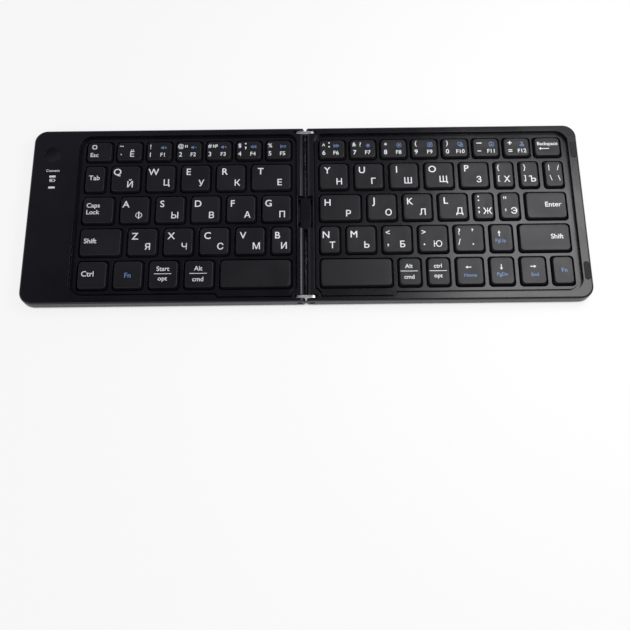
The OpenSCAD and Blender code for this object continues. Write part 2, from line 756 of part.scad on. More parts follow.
// Rubber pads on the right rim, which meet the left half when the keyboard is closed
module right_pads() {
    color(RUBBER) for (s = [-1, 1]) translate([pad_x, s * pad_y, case_h - pad_seat]) rotate([0, 0, 90])
        linear_extrude(pad_seat + pad_rise) slot_shape(pad_l, pad_w / 2);
}

left_frame();
left_bottom_cover();
left_key_plate();
left_base_plate();
left_dome_sheet();
left_scissors();
left_screws();
left_feet();
battery();
main_board();
usb_socket();
status_lights();
cross_flex();
connect_button();
hinge_links();
hinge_bridge();
hinge_pins();
hinge_flex();
right_frame();
right_bottom_cover();
right_key_plate();
right_base_plate();
right_dome_sheet();
right_scissors();
right_screws();
right_feet();
right_pads();
left_keys(["a"]);  // key_a
left_keys(["b"]);  // key_b
left_keys(["c"]);  // key_c
left_keys(["d"]);  // key_d
left_keys(["e"]);  // key_e
left_keys(["f"]);  // key_f
left_keys(["g"]);  // key_g
right_keys(["h"]);  // key_h
right_keys(["i"]);  // key_i
right_keys(["j"]);  // key_j
right_keys(["k"]);  // key_k
right_keys(["l"]);  // key_l
right_keys(["m"]);  // key_m
right_keys(["n"]);  // key_n
right_keys(["o"]);  // key_o
right_keys(["p"]);  // key_p
left_keys(["q"]);  // key_q
left_keys(["r"]);  // key_r
left_keys(["s"]);  // key_s
left_keys(["t"]);  // key_t
right_keys(["u"]);  // key_u
left_keys(["v"]);  // key_v
left_keys(["w"]);  // key_w
left_keys(["x"]);  // key_x
right_keys(["y"]);  // key_y
left_keys(["z"]);  // key_z
left_keys(["space"]);  // left_space_key
right_keys(["space"]);  // right_space_key
left_keys(LEFT_NUMBERS);  // left_number_keys
left_keys(["tab", "caps", "shift", "ctrl", "fn", "start", "alt"]);  // left_command_keys
right_keys(RIGHT_NUMBERS);  // right_number_keys
right_keys(["enter", "shift", "alt", "ctrl", "fn", "left", "right", "up", "down"]);  // right_command_keys
right_keys(["open", "close", "backslash", "semicolon", "quote", "comma", "stop", "slash"]);  // punctuation_keys
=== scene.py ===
# %% [markdown]
# # A folding keyboard, from its CAD frame to a finished look
#
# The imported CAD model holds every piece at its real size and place. This lesson adds what the
# eye sees: the camera, a plain studio, moulded plastic, steel and rubber, smooth keycaps and
# the printed legends. Lengths are written in millimetres and turned into metres by `MM`.

# %% Load the frame
import json
import math
from functools import partial

import bmesh
import bpy
import numpy as np
from mathutils import Matrix, Vector
from mathutils.bvhtree import BVHTree
from mathutils.geometry import delaunay_2d_cdt

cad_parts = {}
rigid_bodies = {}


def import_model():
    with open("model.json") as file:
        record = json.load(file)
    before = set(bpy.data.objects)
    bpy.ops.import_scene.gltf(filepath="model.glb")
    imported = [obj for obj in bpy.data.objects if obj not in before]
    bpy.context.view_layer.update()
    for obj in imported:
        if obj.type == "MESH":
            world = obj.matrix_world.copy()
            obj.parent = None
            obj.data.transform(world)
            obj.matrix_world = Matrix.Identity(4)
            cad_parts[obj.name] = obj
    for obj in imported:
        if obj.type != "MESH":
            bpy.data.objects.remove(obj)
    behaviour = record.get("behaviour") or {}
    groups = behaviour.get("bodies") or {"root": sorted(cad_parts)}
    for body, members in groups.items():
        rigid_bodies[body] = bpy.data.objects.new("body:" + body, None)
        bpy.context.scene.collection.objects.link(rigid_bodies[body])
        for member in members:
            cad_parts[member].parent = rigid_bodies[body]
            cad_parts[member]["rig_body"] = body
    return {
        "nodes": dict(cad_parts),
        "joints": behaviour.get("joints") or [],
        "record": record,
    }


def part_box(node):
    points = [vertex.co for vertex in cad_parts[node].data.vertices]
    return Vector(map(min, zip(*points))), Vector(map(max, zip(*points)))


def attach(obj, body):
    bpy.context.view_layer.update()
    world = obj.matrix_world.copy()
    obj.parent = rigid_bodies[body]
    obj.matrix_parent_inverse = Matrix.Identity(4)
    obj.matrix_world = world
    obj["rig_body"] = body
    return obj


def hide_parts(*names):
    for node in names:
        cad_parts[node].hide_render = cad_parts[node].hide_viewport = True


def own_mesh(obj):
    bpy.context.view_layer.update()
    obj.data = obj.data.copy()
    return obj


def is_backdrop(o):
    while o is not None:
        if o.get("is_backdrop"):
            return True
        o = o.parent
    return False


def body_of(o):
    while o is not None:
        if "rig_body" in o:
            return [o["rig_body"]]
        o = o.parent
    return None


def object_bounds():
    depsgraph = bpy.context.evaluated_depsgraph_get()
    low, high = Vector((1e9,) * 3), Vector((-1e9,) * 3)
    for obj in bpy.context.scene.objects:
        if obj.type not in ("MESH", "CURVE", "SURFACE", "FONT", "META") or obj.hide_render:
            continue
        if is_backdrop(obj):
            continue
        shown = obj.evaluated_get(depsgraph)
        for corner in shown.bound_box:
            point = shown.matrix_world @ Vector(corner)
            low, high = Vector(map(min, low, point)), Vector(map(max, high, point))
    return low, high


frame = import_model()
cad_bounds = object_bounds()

MM = 0.001
scene = bpy.context.scene
nodes = frame["nodes"]
subparts = {part["node"]: part for part in frame["record"]["subparts"]}
node_body = {node: body_of(obj)[0] for node, obj in nodes.items()}

# %% [markdown]
# ## The camera
#
# The photograph looks down steeply from in front of the middle. Its lens and place were
# found by fitting the outline and the rows of keys, so the camera is set by those values
# and not by eye. The turn is a product of three plain rotations: the heading, the tilt and
# a slight roll.

# %% Camera
CAMERA_PLACE = Vector((5.7, -195.1, 420.8)) * MM
CAMERA_HEADING = math.radians(0.495)
CAMERA_ELEVATION = math.radians(71.69)
CAMERA_ROLL = math.radians(-1.10)
FOCAL_PIXELS = 850
FRAME_PIXELS = 630
SENSOR = 36


def add_object(name, data):
    """Puts an object with that data in the scene."""
    obj = bpy.data.objects.new(name, data)
    scene.collection.objects.link(obj)
    return obj


camera_data = bpy.data.cameras.new("camera")
camera_data.sensor_width = SENSOR
camera_data.lens = FOCAL_PIXELS * SENSOR / FRAME_PIXELS
camera = add_object("camera", camera_data)
camera.matrix_world = (
    Matrix.Translation(CAMERA_PLACE)
    @ Matrix.Rotation(CAMERA_HEADING, 4, "Z")
    @ Matrix.Rotation(math.pi / 2 - CAMERA_ELEVATION, 4, "X")
    @ Matrix.Rotation(CAMERA_ROLL, 4, "Z")
)
scene.camera = camera
print("lens", round(camera_data.lens, 2), "mm")

# %% [markdown]
# ## Helpers for node trees
#
# Every material, the world and the Geometry Nodes trees are built from the same few calls,
# so they come first. An input takes a plain value or another node's socket in the same
# way. A finished tree is laid out from left to right for a reader who opens it.


# %% Nodes and links
def feed(tree, socket, value):
    """Sets an input socket to a plain value, or links another node's socket to it."""
    if isinstance(value, bpy.types.NodeSocket):
        tree.links.new(value, socket)
    else:
        socket.default_value = value


def add_node(tree, kind, inputs=None, **settings):
    """Adds a node, sets its plain properties and feeds its inputs, by name or number."""
    node = tree.nodes.new(kind)
    for name, value in settings.items():
        setattr(node, name, value)
    for name, value in (inputs or {}).items():
        feed(tree, node.inputs[name], value)
    return node


def math_node(tree, operation, *values):
    """The result of a Math node. Its inputs are sockets or plain numbers."""
    return add_node(tree, "ShaderNodeMath", dict(enumerate(values)), operation=operation).outputs[0]


def vector_node(tree, operation, *values):
    """The result of a Vector Math node. Its inputs are sockets or plain vectors."""
    node = add_node(tree, "ShaderNodeVectorMath", dict(enumerate(values)), operation=operation)
    return node.outputs["Value" if operation == "DOT_PRODUCT" else "Vector"]


def scaled(tree, vector, factor):
    """A vector or a colour times a number."""
    return add_node(tree, "ShaderNodeVectorMath", {0: vector, "Scale": factor}, operation="SCALE").outputs[0]


def mapped(tree, value, low, high, to_low=0, to_high=1):
    """A value stretched from two limits to two others, and held between those."""
    return add_node(tree, "ShaderNodeMapRange", {
        "Value": value, "From Min": low, "From Max": high, "To Min": to_low, "To Max": to_high}).outputs[0]


def mixed_colour(tree, share, a, b):
    """Mixes two colours by a socket. Each may be a socket or a plain colour."""
    a, b = [(*value[:3], 1) if isinstance(value, tuple) else value for value in (a, b)]
    node = add_node(tree, "ShaderNodeMix", {"Factor": share, "A": a, "B": b}, data_type="RGBA")
    return node.outputs["Result"]


def emptied(owner):
    """The node tree of a material or a world, without its default nodes."""
    owner.use_nodes = True
    owner.node_tree.nodes.clear()
    return owner.node_tree


COLUMN, ROW = 200, 220


def lay_out(tree):
    """Sets the nodes out from left to right, each in the column after what feeds it."""
    column = {node.name: 0 for node in tree.nodes}
    for _ in column:
        for wire in tree.links:
            behind = column[wire.from_node.name] + 1
            column[wire.to_node.name] = max(column[wire.to_node.name], behind)
    filled = {}
    for node in tree.nodes:
        x = column[node.name]
        node.location = (x * COLUMN, -filled.get(x, 0) * ROW)
        filled[x] = filled.get(x, 0) + 1

# %% [markdown]
# ## The studio
#
# Black plastic has hardly any colour of its own: what shows is the lamps in its faint
# gloss. One soft lamp stands to the right and behind, so the sheen grows from nearly black
# at the left to grey at the lower right. The floor and the lower surroundings are white to
# the camera and in reflections, and the space overhead is dark, as it is above a table.

# %% World
WHITE = (1, 1, 1, 1)
SOFT_LIGHT = (0.62, 0.62, 0.65, 1)
# What gloss sees by the sine of the height above the horizon
GLOSS_SKY = [(0.02, (1, 1, 1, 1)), (0.12, (0.60, 0.61, 0.64, 1)), (0.42, (0.50, 0.51, 0.55, 1)),
             (0.60, (0.20, 0.21, 0.25, 1)), (0.80, (0.22, 0.23, 0.30, 1)),
             (0.885, (0.012, 0.013, 0.022, 1))]


def ray_kinds(tree):
    """Two sockets: 1 for rays of the camera, and 1 for rays of gloss or of glass."""
    ray = add_node(tree, "ShaderNodeLightPath").outputs
    return ray["Is Camera Ray"], math_node(tree, "MAXIMUM", ray["Is Glossy Ray"], ray["Is Transmission Ray"])


world = bpy.data.worlds.new("studio")
scene.world = world
tree = emptied(world)
coordinate = add_node(tree, "ShaderNodeTexCoord").outputs["Generated"]
height = add_node(tree, "ShaderNodeSeparateXYZ", {0: coordinate}).outputs["Z"]
sky = add_node(tree, "ShaderNodeValToRGB", {0: height})
ramp = sky.color_ramp.elements
while len(ramp) < len(GLOSS_SKY):
    ramp.new(0.5)
for stop, (position, colour) in zip(ramp, GLOSS_SKY):
    stop.position = position
    stop.color = colour
from_camera, from_gloss = ray_kinds(tree)
carried = mixed_colour(tree, from_gloss, SOFT_LIGHT, sky.outputs["Color"])
backdrop = add_node(tree, "ShaderNodeBackground", {"Color": mixed_colour(tree, from_camera, carried, WHITE)})
add_node(tree, "ShaderNodeOutputWorld", {"Surface": backdrop.outputs[0]})
lay_out(tree)

# %% [markdown]
# The floor is a plain square just under the rubber feet. It mixes a matt shader, which
# takes the shadow, with a white glow that only camera and glossy rays see. Close under the
# case, where no light gets in, an occlusion node turns the glow off and also paints the matt
# colour nearly black there, a painted shade. Without it the slit between the two halves would shine.

# %% Floor
FLOOR_COLOUR = (0.82, 0.82, 0.82, 1)
FLOOR_GLOW = 0.80
FLOOR_GLOSS = 0.30
FLOOR_SIZE = 6.0
FLOOR_DROP = 0.02
SLIT_REACH = 8
SLIT_DARK = 0.25
SLIT_LIGHT = 0.50
# Painted shade: the near-black colour the floor takes where the occlusion node finds it closed in
SLIT_PAINTED_SHADE = (0.05, 0.05, 0.05, 1)

floor_mesh = bpy.data.meshes.new("floor")
half = FLOOR_SIZE / 2
corners = [(-half, -half, 0), (half, -half, 0), (half, half, 0), (-half, half, 0)]
floor_mesh.from_pydata(corners, [], [(0, 1, 2, 3)])
floor = add_object("floor", floor_mesh)
floor.location.z = -FLOOR_DROP * MM
paint = bpy.data.materials.new("floor")
floor_mesh.materials.append(paint)
tree = emptied(paint)
closeness = add_node(tree, "ShaderNodeAmbientOcclusion", {"Distance": SLIT_REACH * MM}, samples=8)
open_sky = mapped(tree, closeness.outputs["AO"], SLIT_DARK, SLIT_LIGHT)
# Painted shade: the floor's colour goes nearly black under the case and in the slit
colour = mixed_colour(tree, open_sky, SLIT_PAINTED_SHADE, FLOOR_COLOUR)
matt = add_node(tree, "ShaderNodeBsdfDiffuse", {"Color": colour})
glow = add_node(tree, "ShaderNodeEmission", {"Color": WHITE})
from_camera, from_gloss = ray_kinds(tree)
seen_glow = math_node(tree, "MULTIPLY", from_camera, FLOOR_GLOW)
gloss_glow = math_node(tree, "MULTIPLY", from_gloss, FLOOR_GLOSS)
shown = math_node(tree, "MULTIPLY", math_node(tree, "MAXIMUM", seen_glow, gloss_glow), open_sky)
both = add_node(tree, "ShaderNodeMixShader", {0: shown, 1: matt.outputs[0], 2: glow.outputs[0]})
add_node(tree, "ShaderNodeOutputMaterial", {"Surface": both.outputs[0]})
lay_out(tree)
floor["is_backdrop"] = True

# %% [markdown]
# Two soft lamps are enough. The first one's place follows from the gloss: its mirror image
# in the deck has to lie where the sheen is brightest, near the right front corner.


# %% Lamps
def soft_lamp(name, place, width, depth, watts, aim=(0, 0, 0)):
    """A soft rectangular lamp at a place in mm, turned to what it lights."""
    data = bpy.data.lights.new(name, "AREA")
    data.shape = "RECTANGLE"
    data.size = width * MM
    data.size_y = depth * MM
    data.energy = watts
    lamp = add_object(name, data)
    lamp.location = Vector(place) * MM
    direction = Vector(aim) * MM - lamp.location
    lamp.rotation_euler = direction.to_track_quat("-Z", "Y").to_euler()


soft_lamp("main_lamp", (196, 24, 271), 170, 254, 0.66, aim=(196, -64, 0))
soft_lamp("fill_lamp", (-600, -650, 500), 700, 700, 1.2)
scene.view_settings.view_transform = "Standard"

# %% [markdown]
# ## Finishes
#
# Every plastic here is moulded, and a mould leaves the same three traces: a fine grain that
# breaks up the gloss, a slow drift of the colour and a slow drift of the roughness. They
# are one node group with its own values in each material. The group gives out colours,
# numbers and a height, and the Principled shader stays in the material. All patterns read
# Object coordinates, so they stay on the piece when it moves.


# %% Shader groups
def new_group(name, inputs):
    """A shader node group with named inputs and their defaults, and a surface's three outputs."""
    group = bpy.data.node_groups.new(name, "ShaderNodeTree")
    for title, kind, value in inputs:
        group.interface.new_socket(title, in_out="INPUT", socket_type=kind).default_value = value
    for title, kind in (("Color", COLOR), ("Roughness", FLOAT), ("Height", FLOAT)):
        group.interface.new_socket(title, in_out="OUTPUT", socket_type=kind)
    return group, add_node(group, "NodeGroupInput").outputs, add_node(group, "NodeGroupOutput").inputs


def object_place(tree):
    """The Object coordinates as one socket."""
    return add_node(tree, "ShaderNodeTexCoord").outputs["Object"]


def noise(tree, coordinates, scale, detail):
    """A noise texture. Its scale, in cycles a metre, is a number or a socket."""
    return add_node(tree, "ShaderNodeTexNoise", {
        "Vector": coordinates, "Scale": scale, "Detail": detail}).outputs["Fac"]


def spread(tree, value, low, high):
    """Stretches the middle of a noise over low to high."""
    return mapped(tree, value, *NOISE_MIDDLE, low, high)


def end_group(group, given, made, pattern, swing, share, relief):
    """A pattern swings the colour, and a share of the swing goes to the roughness."""
    change = math_node(group, "MULTIPLY", spread(group, pattern, -1, 1), given[swing])
    feed(group, made["Color"], scaled(group, given["Color"], math_node(group, "ADD", change, 1)))
    uneven = math_node(group, "MULTIPLY", change, share)
    feed(group, made["Roughness"], math_node(group, "ADD", uneven, given["Roughness"]))
    feed(group, made["Height"], relief)
    lay_out(group)
    print("group", group.name, "with", len(group.nodes), "nodes")


COLOR, FLOAT = "NodeSocketColor", "NodeSocketFloat"
NOISE_MIDDLE = (0.3, 0.7)
PATCH_SCALE = 45.0
ROUGHNESS_SHARE = 0.4
moulded, given, made = new_group("moulded_surface", [
    ("Color", COLOR, (0.02, 0.02, 0.02, 1)), ("Roughness", FLOAT, 0.45),
    ("Grain Scale", FLOAT, 2600.0), ("Drift", FLOAT, 0.12)])
place = object_place(moulded)
grain = noise(moulded, place, given["Grain Scale"], 2)
patches = noise(moulded, place, PATCH_SCALE, 3)
end_group(moulded, given, made, patches, "Drift", ROUGHNESS_SHARE, grain)

# %% [markdown]
# Rolled and blanked steel carries fine lines along the way it was rolled. A noise whose
# coordinates are squeezed across that way gives them, and the same lines move the
# roughness, which is what makes brushed metal shimmer. `Grain` is the squeeze along X, Y
# and Z.

# %% Rolled metal
rolled, given, made = new_group("rolled_metal", [
    ("Color", COLOR, (0.6, 0.6, 0.6, 1)), ("Roughness", FLOAT, 0.3),
    ("Grain", "NodeSocketVector", (60.0, 3000.0, 3000.0)), ("Contrast", FLOAT, 0.15)])
squeezed = vector_node(rolled, "MULTIPLY", object_place(rolled), given["Grain"])
lines = noise(rolled, squeezed, 1.0, 3)
end_group(rolled, given, made, lines, "Contrast", 1, lines)

# %% [markdown]
# A material is a Principled shader fed by one of the groups. What is the same all over,
# such as the index of refraction or a plain metallic value, is set on the shader itself.


# %% Materials
finish = {}


def bare_material(name):
    """A new finish with a bare Principled shader. Returns its tree and the shader's inputs."""
    finish[name] = bpy.data.materials.new(name)
    tree = emptied(finish[name])
    shader = add_node(tree, "ShaderNodeBsdfPrincipled")
    add_node(tree, "ShaderNodeOutputMaterial", {"Surface": shader.outputs[0]})
    return tree, shader.inputs


def surfaced(name, group, depth, values, metallic=0):
    """A material from a surface group. The depth of its relief is in mm."""
    tree, shader = bare_material(name)
    surface = add_node(tree, "ShaderNodeGroup", values, node_tree=group).outputs
    feed(tree, shader["Base Color"], surface["Color"])
    feed(tree, shader["Roughness"], surface["Roughness"])
    shader["Metallic"].default_value = metallic
    bump = add_node(tree, "ShaderNodeBump", {"Distance": depth * MM, "Height": surface["Height"]})
    feed(tree, shader["Normal"], bump.outputs[0])


def moulding(name, colour, roughness, grain=2600.0, depth=0.015, drift=0.12):
    """Plastic, rubber or ink, with the surface of a mould."""
    surfaced(name, moulded, depth, {
        "Color": (*colour, 1), "Roughness": roughness, "Grain Scale": grain, "Drift": drift})


def metal(name, colour, roughness, grain, contrast=0.15, depth=0.004):
    """Rolled or turned metal."""
    surfaced(name, rolled, depth, {
        "Color": (*colour, 1), "Roughness": roughness, "Grain": grain, "Contrast": contrast}, metallic=1)


ALONG_X = (60.0, 3000.0, 3000.0)
TURNED = (2500.0, 2500.0, 90.0)
moulding("case_plastic", (0.0060, 0.0057, 0.0078), 0.27)
moulding("key_plastic", (0.0064, 0.0061, 0.0080), 0.46, depth=0.012)
moulding("cover_plastic", (0.010, 0.010, 0.012), 0.5, 1900.0, 0.03)
moulding("foot_rubber", (0.012, 0.012, 0.013), 0.80, 1500.0, 0.02)
moulding("scissor_plastic", (0.72, 0.72, 0.69), 0.4)
moulding("light_guide", (0.72, 0.74, 0.78), 0.25, 900.0, 0.005, 0.05)
moulding("white_ink", (0.74, 0.75, 0.76), 0.5, 1800.0, 0.004, 0.05)
moulding("blue_ink", (0.13, 0.21, 0.40), 0.5, 1800.0, 0.004, 0.05)
metal("link_steel", (0.84, 0.84, 0.83), 0.42, ALONG_X)
metal("sheet_steel", (0.62, 0.63, 0.64), 0.38, ALONG_X)
metal("screw_steel", (0.10, 0.10, 0.11), 0.35, TURNED)
metal("pin_steel", (0.045, 0.045, 0.050), 0.40, TURNED)

# %% [markdown]
# Four finishes inside the case have a pattern of their own. The flat cable is black film
# through which its copper lines only just show. The contact sheet is the same film, with
# pale silicone domes on it. The board is green lacquer with traces, and above its face
# everything is a black component. The battery is a soft foil pouch.

# %% Film, board and foil
LINE_PITCH = 0.6
BOARD_FACE = 3.12
SHEET_FACE = 2.87
DOMES_MIDDLE = 63
DOMES_REACH = 54
TAB_FACE = -12.5
FILM = (0.008, 0.007, 0.007)


def patterned(name):
    """A bare material with its Object coordinates, whole and by axis."""
    tree, shader = bare_material(name)
    place = object_place(tree)
    return tree, shader, place, add_node(tree, "ShaderNodeSeparateXYZ", {0: place}).outputs


def above(tree, value, edge, softness):
    """0 below an edge and 1 above it."""
    return mapped(tree, value, edge - softness, edge + softness)


def rough_patches(tree, shader, place, scale):
    """Roughness that drifts from 0.25 to 0.4."""
    feed(tree, shader["Roughness"], spread(tree, noise(tree, place, scale, 2), 0.25, 0.4))


tree, shader, place, axes = patterned("flex_film")
wave = math_node(tree, "PINGPONG", math_node(tree, "MULTIPLY", axes["Y"], 1 / (LINE_PITCH * MM)), 0.5)
copper = above(tree, wave, 0.25, 0.04)
feed(tree, shader["Base Color"], mixed_colour(tree, copper, FILM, (0.020, 0.012, 0.008)))
rough_patches(tree, shader, place, 300.0)

tree, shader, place, axes = patterned("contact_sheet")
from_middle = math_node(tree, "SUBTRACT", math_node(tree, "ABSOLUTE", axes["X"]), DOMES_MIDDLE * MM)
outside = above(tree, math_node(tree, "ABSOLUTE", from_middle), DOMES_REACH * MM, 0.01 * MM)
raised = above(tree, axes["Z"], SHEET_FACE * MM, 0.005 * MM)
dome = math_node(tree, "SUBTRACT", raised, outside)
feed(tree, shader["Base Color"], mixed_colour(tree, dome, FILM, (0.40, 0.41, 0.43)))

tree, shader, place, axes = patterned("board_laminate")
cells = add_node(tree, "ShaderNodeTexVoronoi", {"Vector": place, "Scale": 420.0},
                 distance="CHEBYCHEV", feature="DISTANCE_TO_EDGE")
trace = above(tree, cells.outputs["Distance"], 0.12, 0.02)
lacquer = mixed_colour(tree, trace, (0.03, 0.20, 0.10), (0.012, 0.09, 0.045))
part = above(tree, axes["Z"], BOARD_FACE * MM, 0.01 * MM)
feed(tree, shader["Base Color"], mixed_colour(tree, part, lacquer, (0.02, 0.02, 0.022)))
rough_patches(tree, shader, place, 200.0)

tree, shader, place, axes = patterned("battery_film")
creases = noise(tree, place, 90.0, 4)
feed(tree, shader["Roughness"], spread(tree, creases, 0.22, 0.42))
tab = above(tree, axes["Y"], TAB_FACE * MM, 0.05 * MM)
feed(tree, shader["Base Color"], mixed_colour(tree, tab, (0.55, 0.56, 0.58), (0.60, 0.42, 0.08)))
bump = add_node(tree, "ShaderNodeBump", {"Distance": 0.25 * MM, "Height": creases})
feed(tree, shader["Normal"], bump.outputs[0])
shader["Metallic"].default_value = 0.8

for material in finish.values():
    lay_out(material.node_tree)
for node, part in subparts.items():
    data = nodes[node].data
    data.materials.clear()
    data.materials.append(finish["contact_sheet" if node.endswith("dome_sheet") else part["material_slot"]])
print(len(finish), "finishes")

# %% [markdown]
# ## Pieces that keep their CAD shape
#
# The CAD meshes are exact, but their edges are knife sharp, and no moulded or stamped part
# has such edges. The eye finds a thin line of light along every real edge. So the main
# pieces are shown as merged copies with a narrow bevel, and the bevel's width is that of
# the real edge: about a tenth of a millimetre on steel and a little more on plastic. The
# normals are weighted by face area, which keeps the flat faces flat. Where two edges run
# into each other closer than the bevel is wide, it can throw a corner far off the part, so
# a corner that has left the surface is put back on it.


# %% Copies with fine edges
JOIN = 0.0004 * MM
FLAT = math.radians(0.3)
SHARP = math.radians(32)
STRAY = 1.5  # how many bevel widths a corner may be off the surface
EDGES = {  # the bevel of each piece, in mm
    "left_frame": 0.12, "right_frame": 0.12, "left_key_plate": 0.12, "right_key_plate": 0.12,
    "hinge_bridge": 0.12, "right_pads": 0.12, "hinge_links": 0.1, "hinge_pins": 0.1,
    "status_lights": 0.1, "usb_socket": 0.06, "left_bottom_cover": 0.1, "right_bottom_cover": 0.1}
OTHER_FINISH = {"hinge_bridge": "case_plastic", "hinge_pins": "pin_steel"}


def add_piece(name, mesh, node, stands_for_it=True):
    """Puts a finished mesh in the scene, on the body of a CAD node."""
    piece = add_object(name, mesh)
    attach(piece, node_body[node])
    if stands_for_it:
        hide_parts(node)
    return piece


def mesh_of(work, name, smooth=True):
    """Turns a bmesh into a mesh and frees it."""
    mesh = bpy.data.meshes.new(name)
    for face in work.faces:
        face.smooth = smooth
    work.to_mesh(mesh)
    work.free()
    return mesh


def mesh_with_modifiers(obj):
    """The mesh of an object with its modifiers applied."""
    bpy.context.view_layer.update()
    graph = bpy.context.evaluated_depsgraph_get()
    return bpy.data.meshes.new_from_object(obj.evaluated_get(graph), depsgraph=graph)


def show_instead(helper, node, ending):
    """A helper's finished mesh becomes the piece shown for a CAD node. The helper goes."""
    mesh = mesh_with_modifiers(helper)
    mesh.name = node + ending
    bpy.data.objects.remove(helper)
    add_piece(node + ending, mesh, node)
    return mesh


def with_joined_corners(node):
    """A CAD node's mesh as a bmesh with its corners joined."""
    work = bmesh.new()
    work.from_mesh(nodes[node].data)
    bmesh.ops.remove_doubles(work, verts=work.verts, dist=JOIN)
    work.faces.index_update()
    return work


for node, edge in EDGES.items():
    work = with_joined_corners(node)
    bmesh.ops.dissolve_degenerate(work, edges=work.edges, dist=JOIN)
    bmesh.ops.dissolve_limit(work, angle_limit=FLAT, verts=work.verts, edges=work.edges)
    surface = BVHTree.FromBMesh(work)
    helper = add_object("helper", mesh_of(work, "helper"))
    bevel = helper.modifiers.new("edges", "BEVEL")
    bevel.width = edge * MM
    bevel.segments = 2
    bevel.limit_method = "ANGLE"
    bevel.angle_limit = SHARP
    bevel.use_clamp_overlap = False
    bevel.miter_outer = "MITER_ARC"
    helper.modifiers.new("normals", "WEIGHTED_NORMAL").keep_sharp = True
    mesh = show_instead(helper, node, "_fine")
    strays = 0
    for vertex in mesh.vertices:
        place, _, _, distance = surface.find_nearest(vertex.co)
        if distance > STRAY * edge * MM:
            vertex.co = place
            strays += 1
    mesh.materials.clear()
    mesh.materials.append(finish[OTHER_FINISH.get(node, subparts[node]["material_slot"])])
    print(node, "fine copy", len(mesh.polygons), "faces,", strays, "corners held back")

# %% [markdown]
# ## Scissors and domes
#
# Under every keycap stand a plastic scissor, which keeps the cap level, and a rubber dome,
# which closes the contact and pushes the cap back up. Both flatten as the cap comes down.
# The CAD model has them as one part for each half. Here that part is dealt out to the keys
# that stand on it, and each share rides with its own key.

# %% Scissors and domes
SHEET_TOP = 2.85
ON_SHEET = 0.01
DOME_WIDTH = 8.0  # no dome is wider, and the sheet's own tail is


def loose_parts(faces):
    """Splits faces into the groups that hang together."""
    left = {face.index: face for face in faces}
    parts = []
    for start in sorted(left):
        if start not in left:
            continue
        part, reached = [], [left.pop(start)]
        while reached:
            face = reached.pop()
            part.append(face)
            around = [other for edge in face.edges for other in edge.link_faces]
            reached += [left.pop(other.index) for other in around if other.index in left]
        parts.append(part)
    return parts


def extent(faces):
    """The lowest and the highest corner of some faces."""
    points = np.array([vertex.co[:] for face in faces for vertex in face.verts])
    return points.min(axis=0), points.max(axis=0)


def share(name, node, faces):
    """Some faces of a CAD node as a piece of their own."""
    numbers = {}
    for face in faces:
        for vertex in face.verts:
            numbers.setdefault(vertex, len(numbers))
    mesh = bpy.data.meshes.new(name)
    mesh.from_pydata([vertex.co[:] for vertex in numbers], [],
                     [[numbers[vertex] for vertex in face.verts] for face in faces])
    for face in mesh.polygons:
        face.use_smooth = True
    mesh.set_sharp_from_angle(angle=SHARP)
    mesh.materials.append(nodes[node].data.materials[0])
    return add_piece(name, mesh, node)


def solids_of(node):
    """The boxes of the separate solids of a CAD node, as (low, high) pairs."""
    work = with_joined_corners(node)
    boxes = [extent(part) for part in loose_parts(work.faces)]
    work.free()
    return boxes


press = {joint["child"]: joint for joint in frame["joints"] if joint["type"] == "slide"}
key_places = [(body, *box) for node, body in node_body.items() if body in press for box in solids_of(node)]


def key_over(faces):
    """The body of the keycap that covers the middle of these faces, if there is one."""
    x, y, _ = sum(extent(faces)) / 2
    for body, low, high in key_places:
        if low[0] < x < high[0] and low[1] < y < high[1]:
            return body
    return None


for node in ("left_scissors", "right_scissors", "left_dome_sheet", "right_dome_sheet"):
    work = with_joined_corners(node)
    raised = [face for face in work.faces
              if max(vertex.co.z for vertex in face.verts) > (SHEET_TOP + ON_SHEET) * MM]
    shares, kept = {}, set(work.faces)
    for part in loose_parts(raised):
        low, high = extent(part)
        body = key_over(part)
        if "dome" in node and max(high[:2] - low[:2]) > DOME_WIDTH * MM:
            body = None
        if body:
            shares.setdefault(body, []).extend(part)
            kept.difference_update(part)
    for body, faces in shares.items():
        piece = share(body + "_" + node.split("_", 1)[1], node, faces)
        top = extent(faces)[1][2] - SHEET_TOP * MM
        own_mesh(piece)
    if kept:
        share(node + "_flat", node, sorted(kept, key=lambda face: face.index))
    print(node, len(shares), "shares,", len(kept), "faces stay")
    work.free()

# %% [markdown]
# ## Keycaps
#
# There are 67 keycaps of many widths, and all follow one rule: a rounded foot that tapers
# to a rounded top, a soft upper edge, a faint dish and a thin wall. So they are one unit
# cap and one Geometry Nodes tree. The unit cap is drawn on a square that reaches from -1
# to 1, with corners one unit wide round it. The tree puts it on a point for each key and
# then moves every vertex to its real place: the part inside the square stretches with the
# key, and the corners keep their radius. Two attributes of the unit cap tell how far each
# vertex follows the taper, the soft edge and the wall.

# %% Unit cap
SIDE_STEPS = 6
CORNER_STEPS = 5
EDGE_STEPS = 4


def square_ring():
    """The outline of the unit cap: sides of equal steps and round corners."""
    sides = [-1 + 2 * i / SIDE_STEPS for i in range(SIDE_STEPS + 1)]
    ring = []
    for quarter in range(4):
        turn = Matrix.Rotation(quarter * math.pi / 2, 2)
        ring += [turn @ Vector((2, t)) for t in sides]
        angles = [math.pi / 2 * i / CORNER_STEPS for i in range(1, CORNER_STEPS)]
        ring += [turn @ Vector((1 + math.cos(a), 1 + math.sin(a))) for a in angles]
    return ring


# Each ring: shares of the taper, the edge inset and the wall, then of the foot height, the
# roof drop and the edge drop
rings = [((0, 0, 1), (0, 1, 0)), ((1, 0, 1), (1, 0, 0)), ((1, 0, 0), (1, 0, 0))]
for step in range(EDGE_STEPS + 1):
    angle = math.pi / 2 * step / EDGE_STEPS
    rings.append(((0, 1 - math.cos(angle), 0), (0, 0, 1 - math.sin(angle))))

outline = square_ring()
count = len(outline)
unit = bmesh.new()
out_layer = unit.verts.layers.float_vector.new("out")
up_layer = unit.verts.layers.float_vector.new("up")


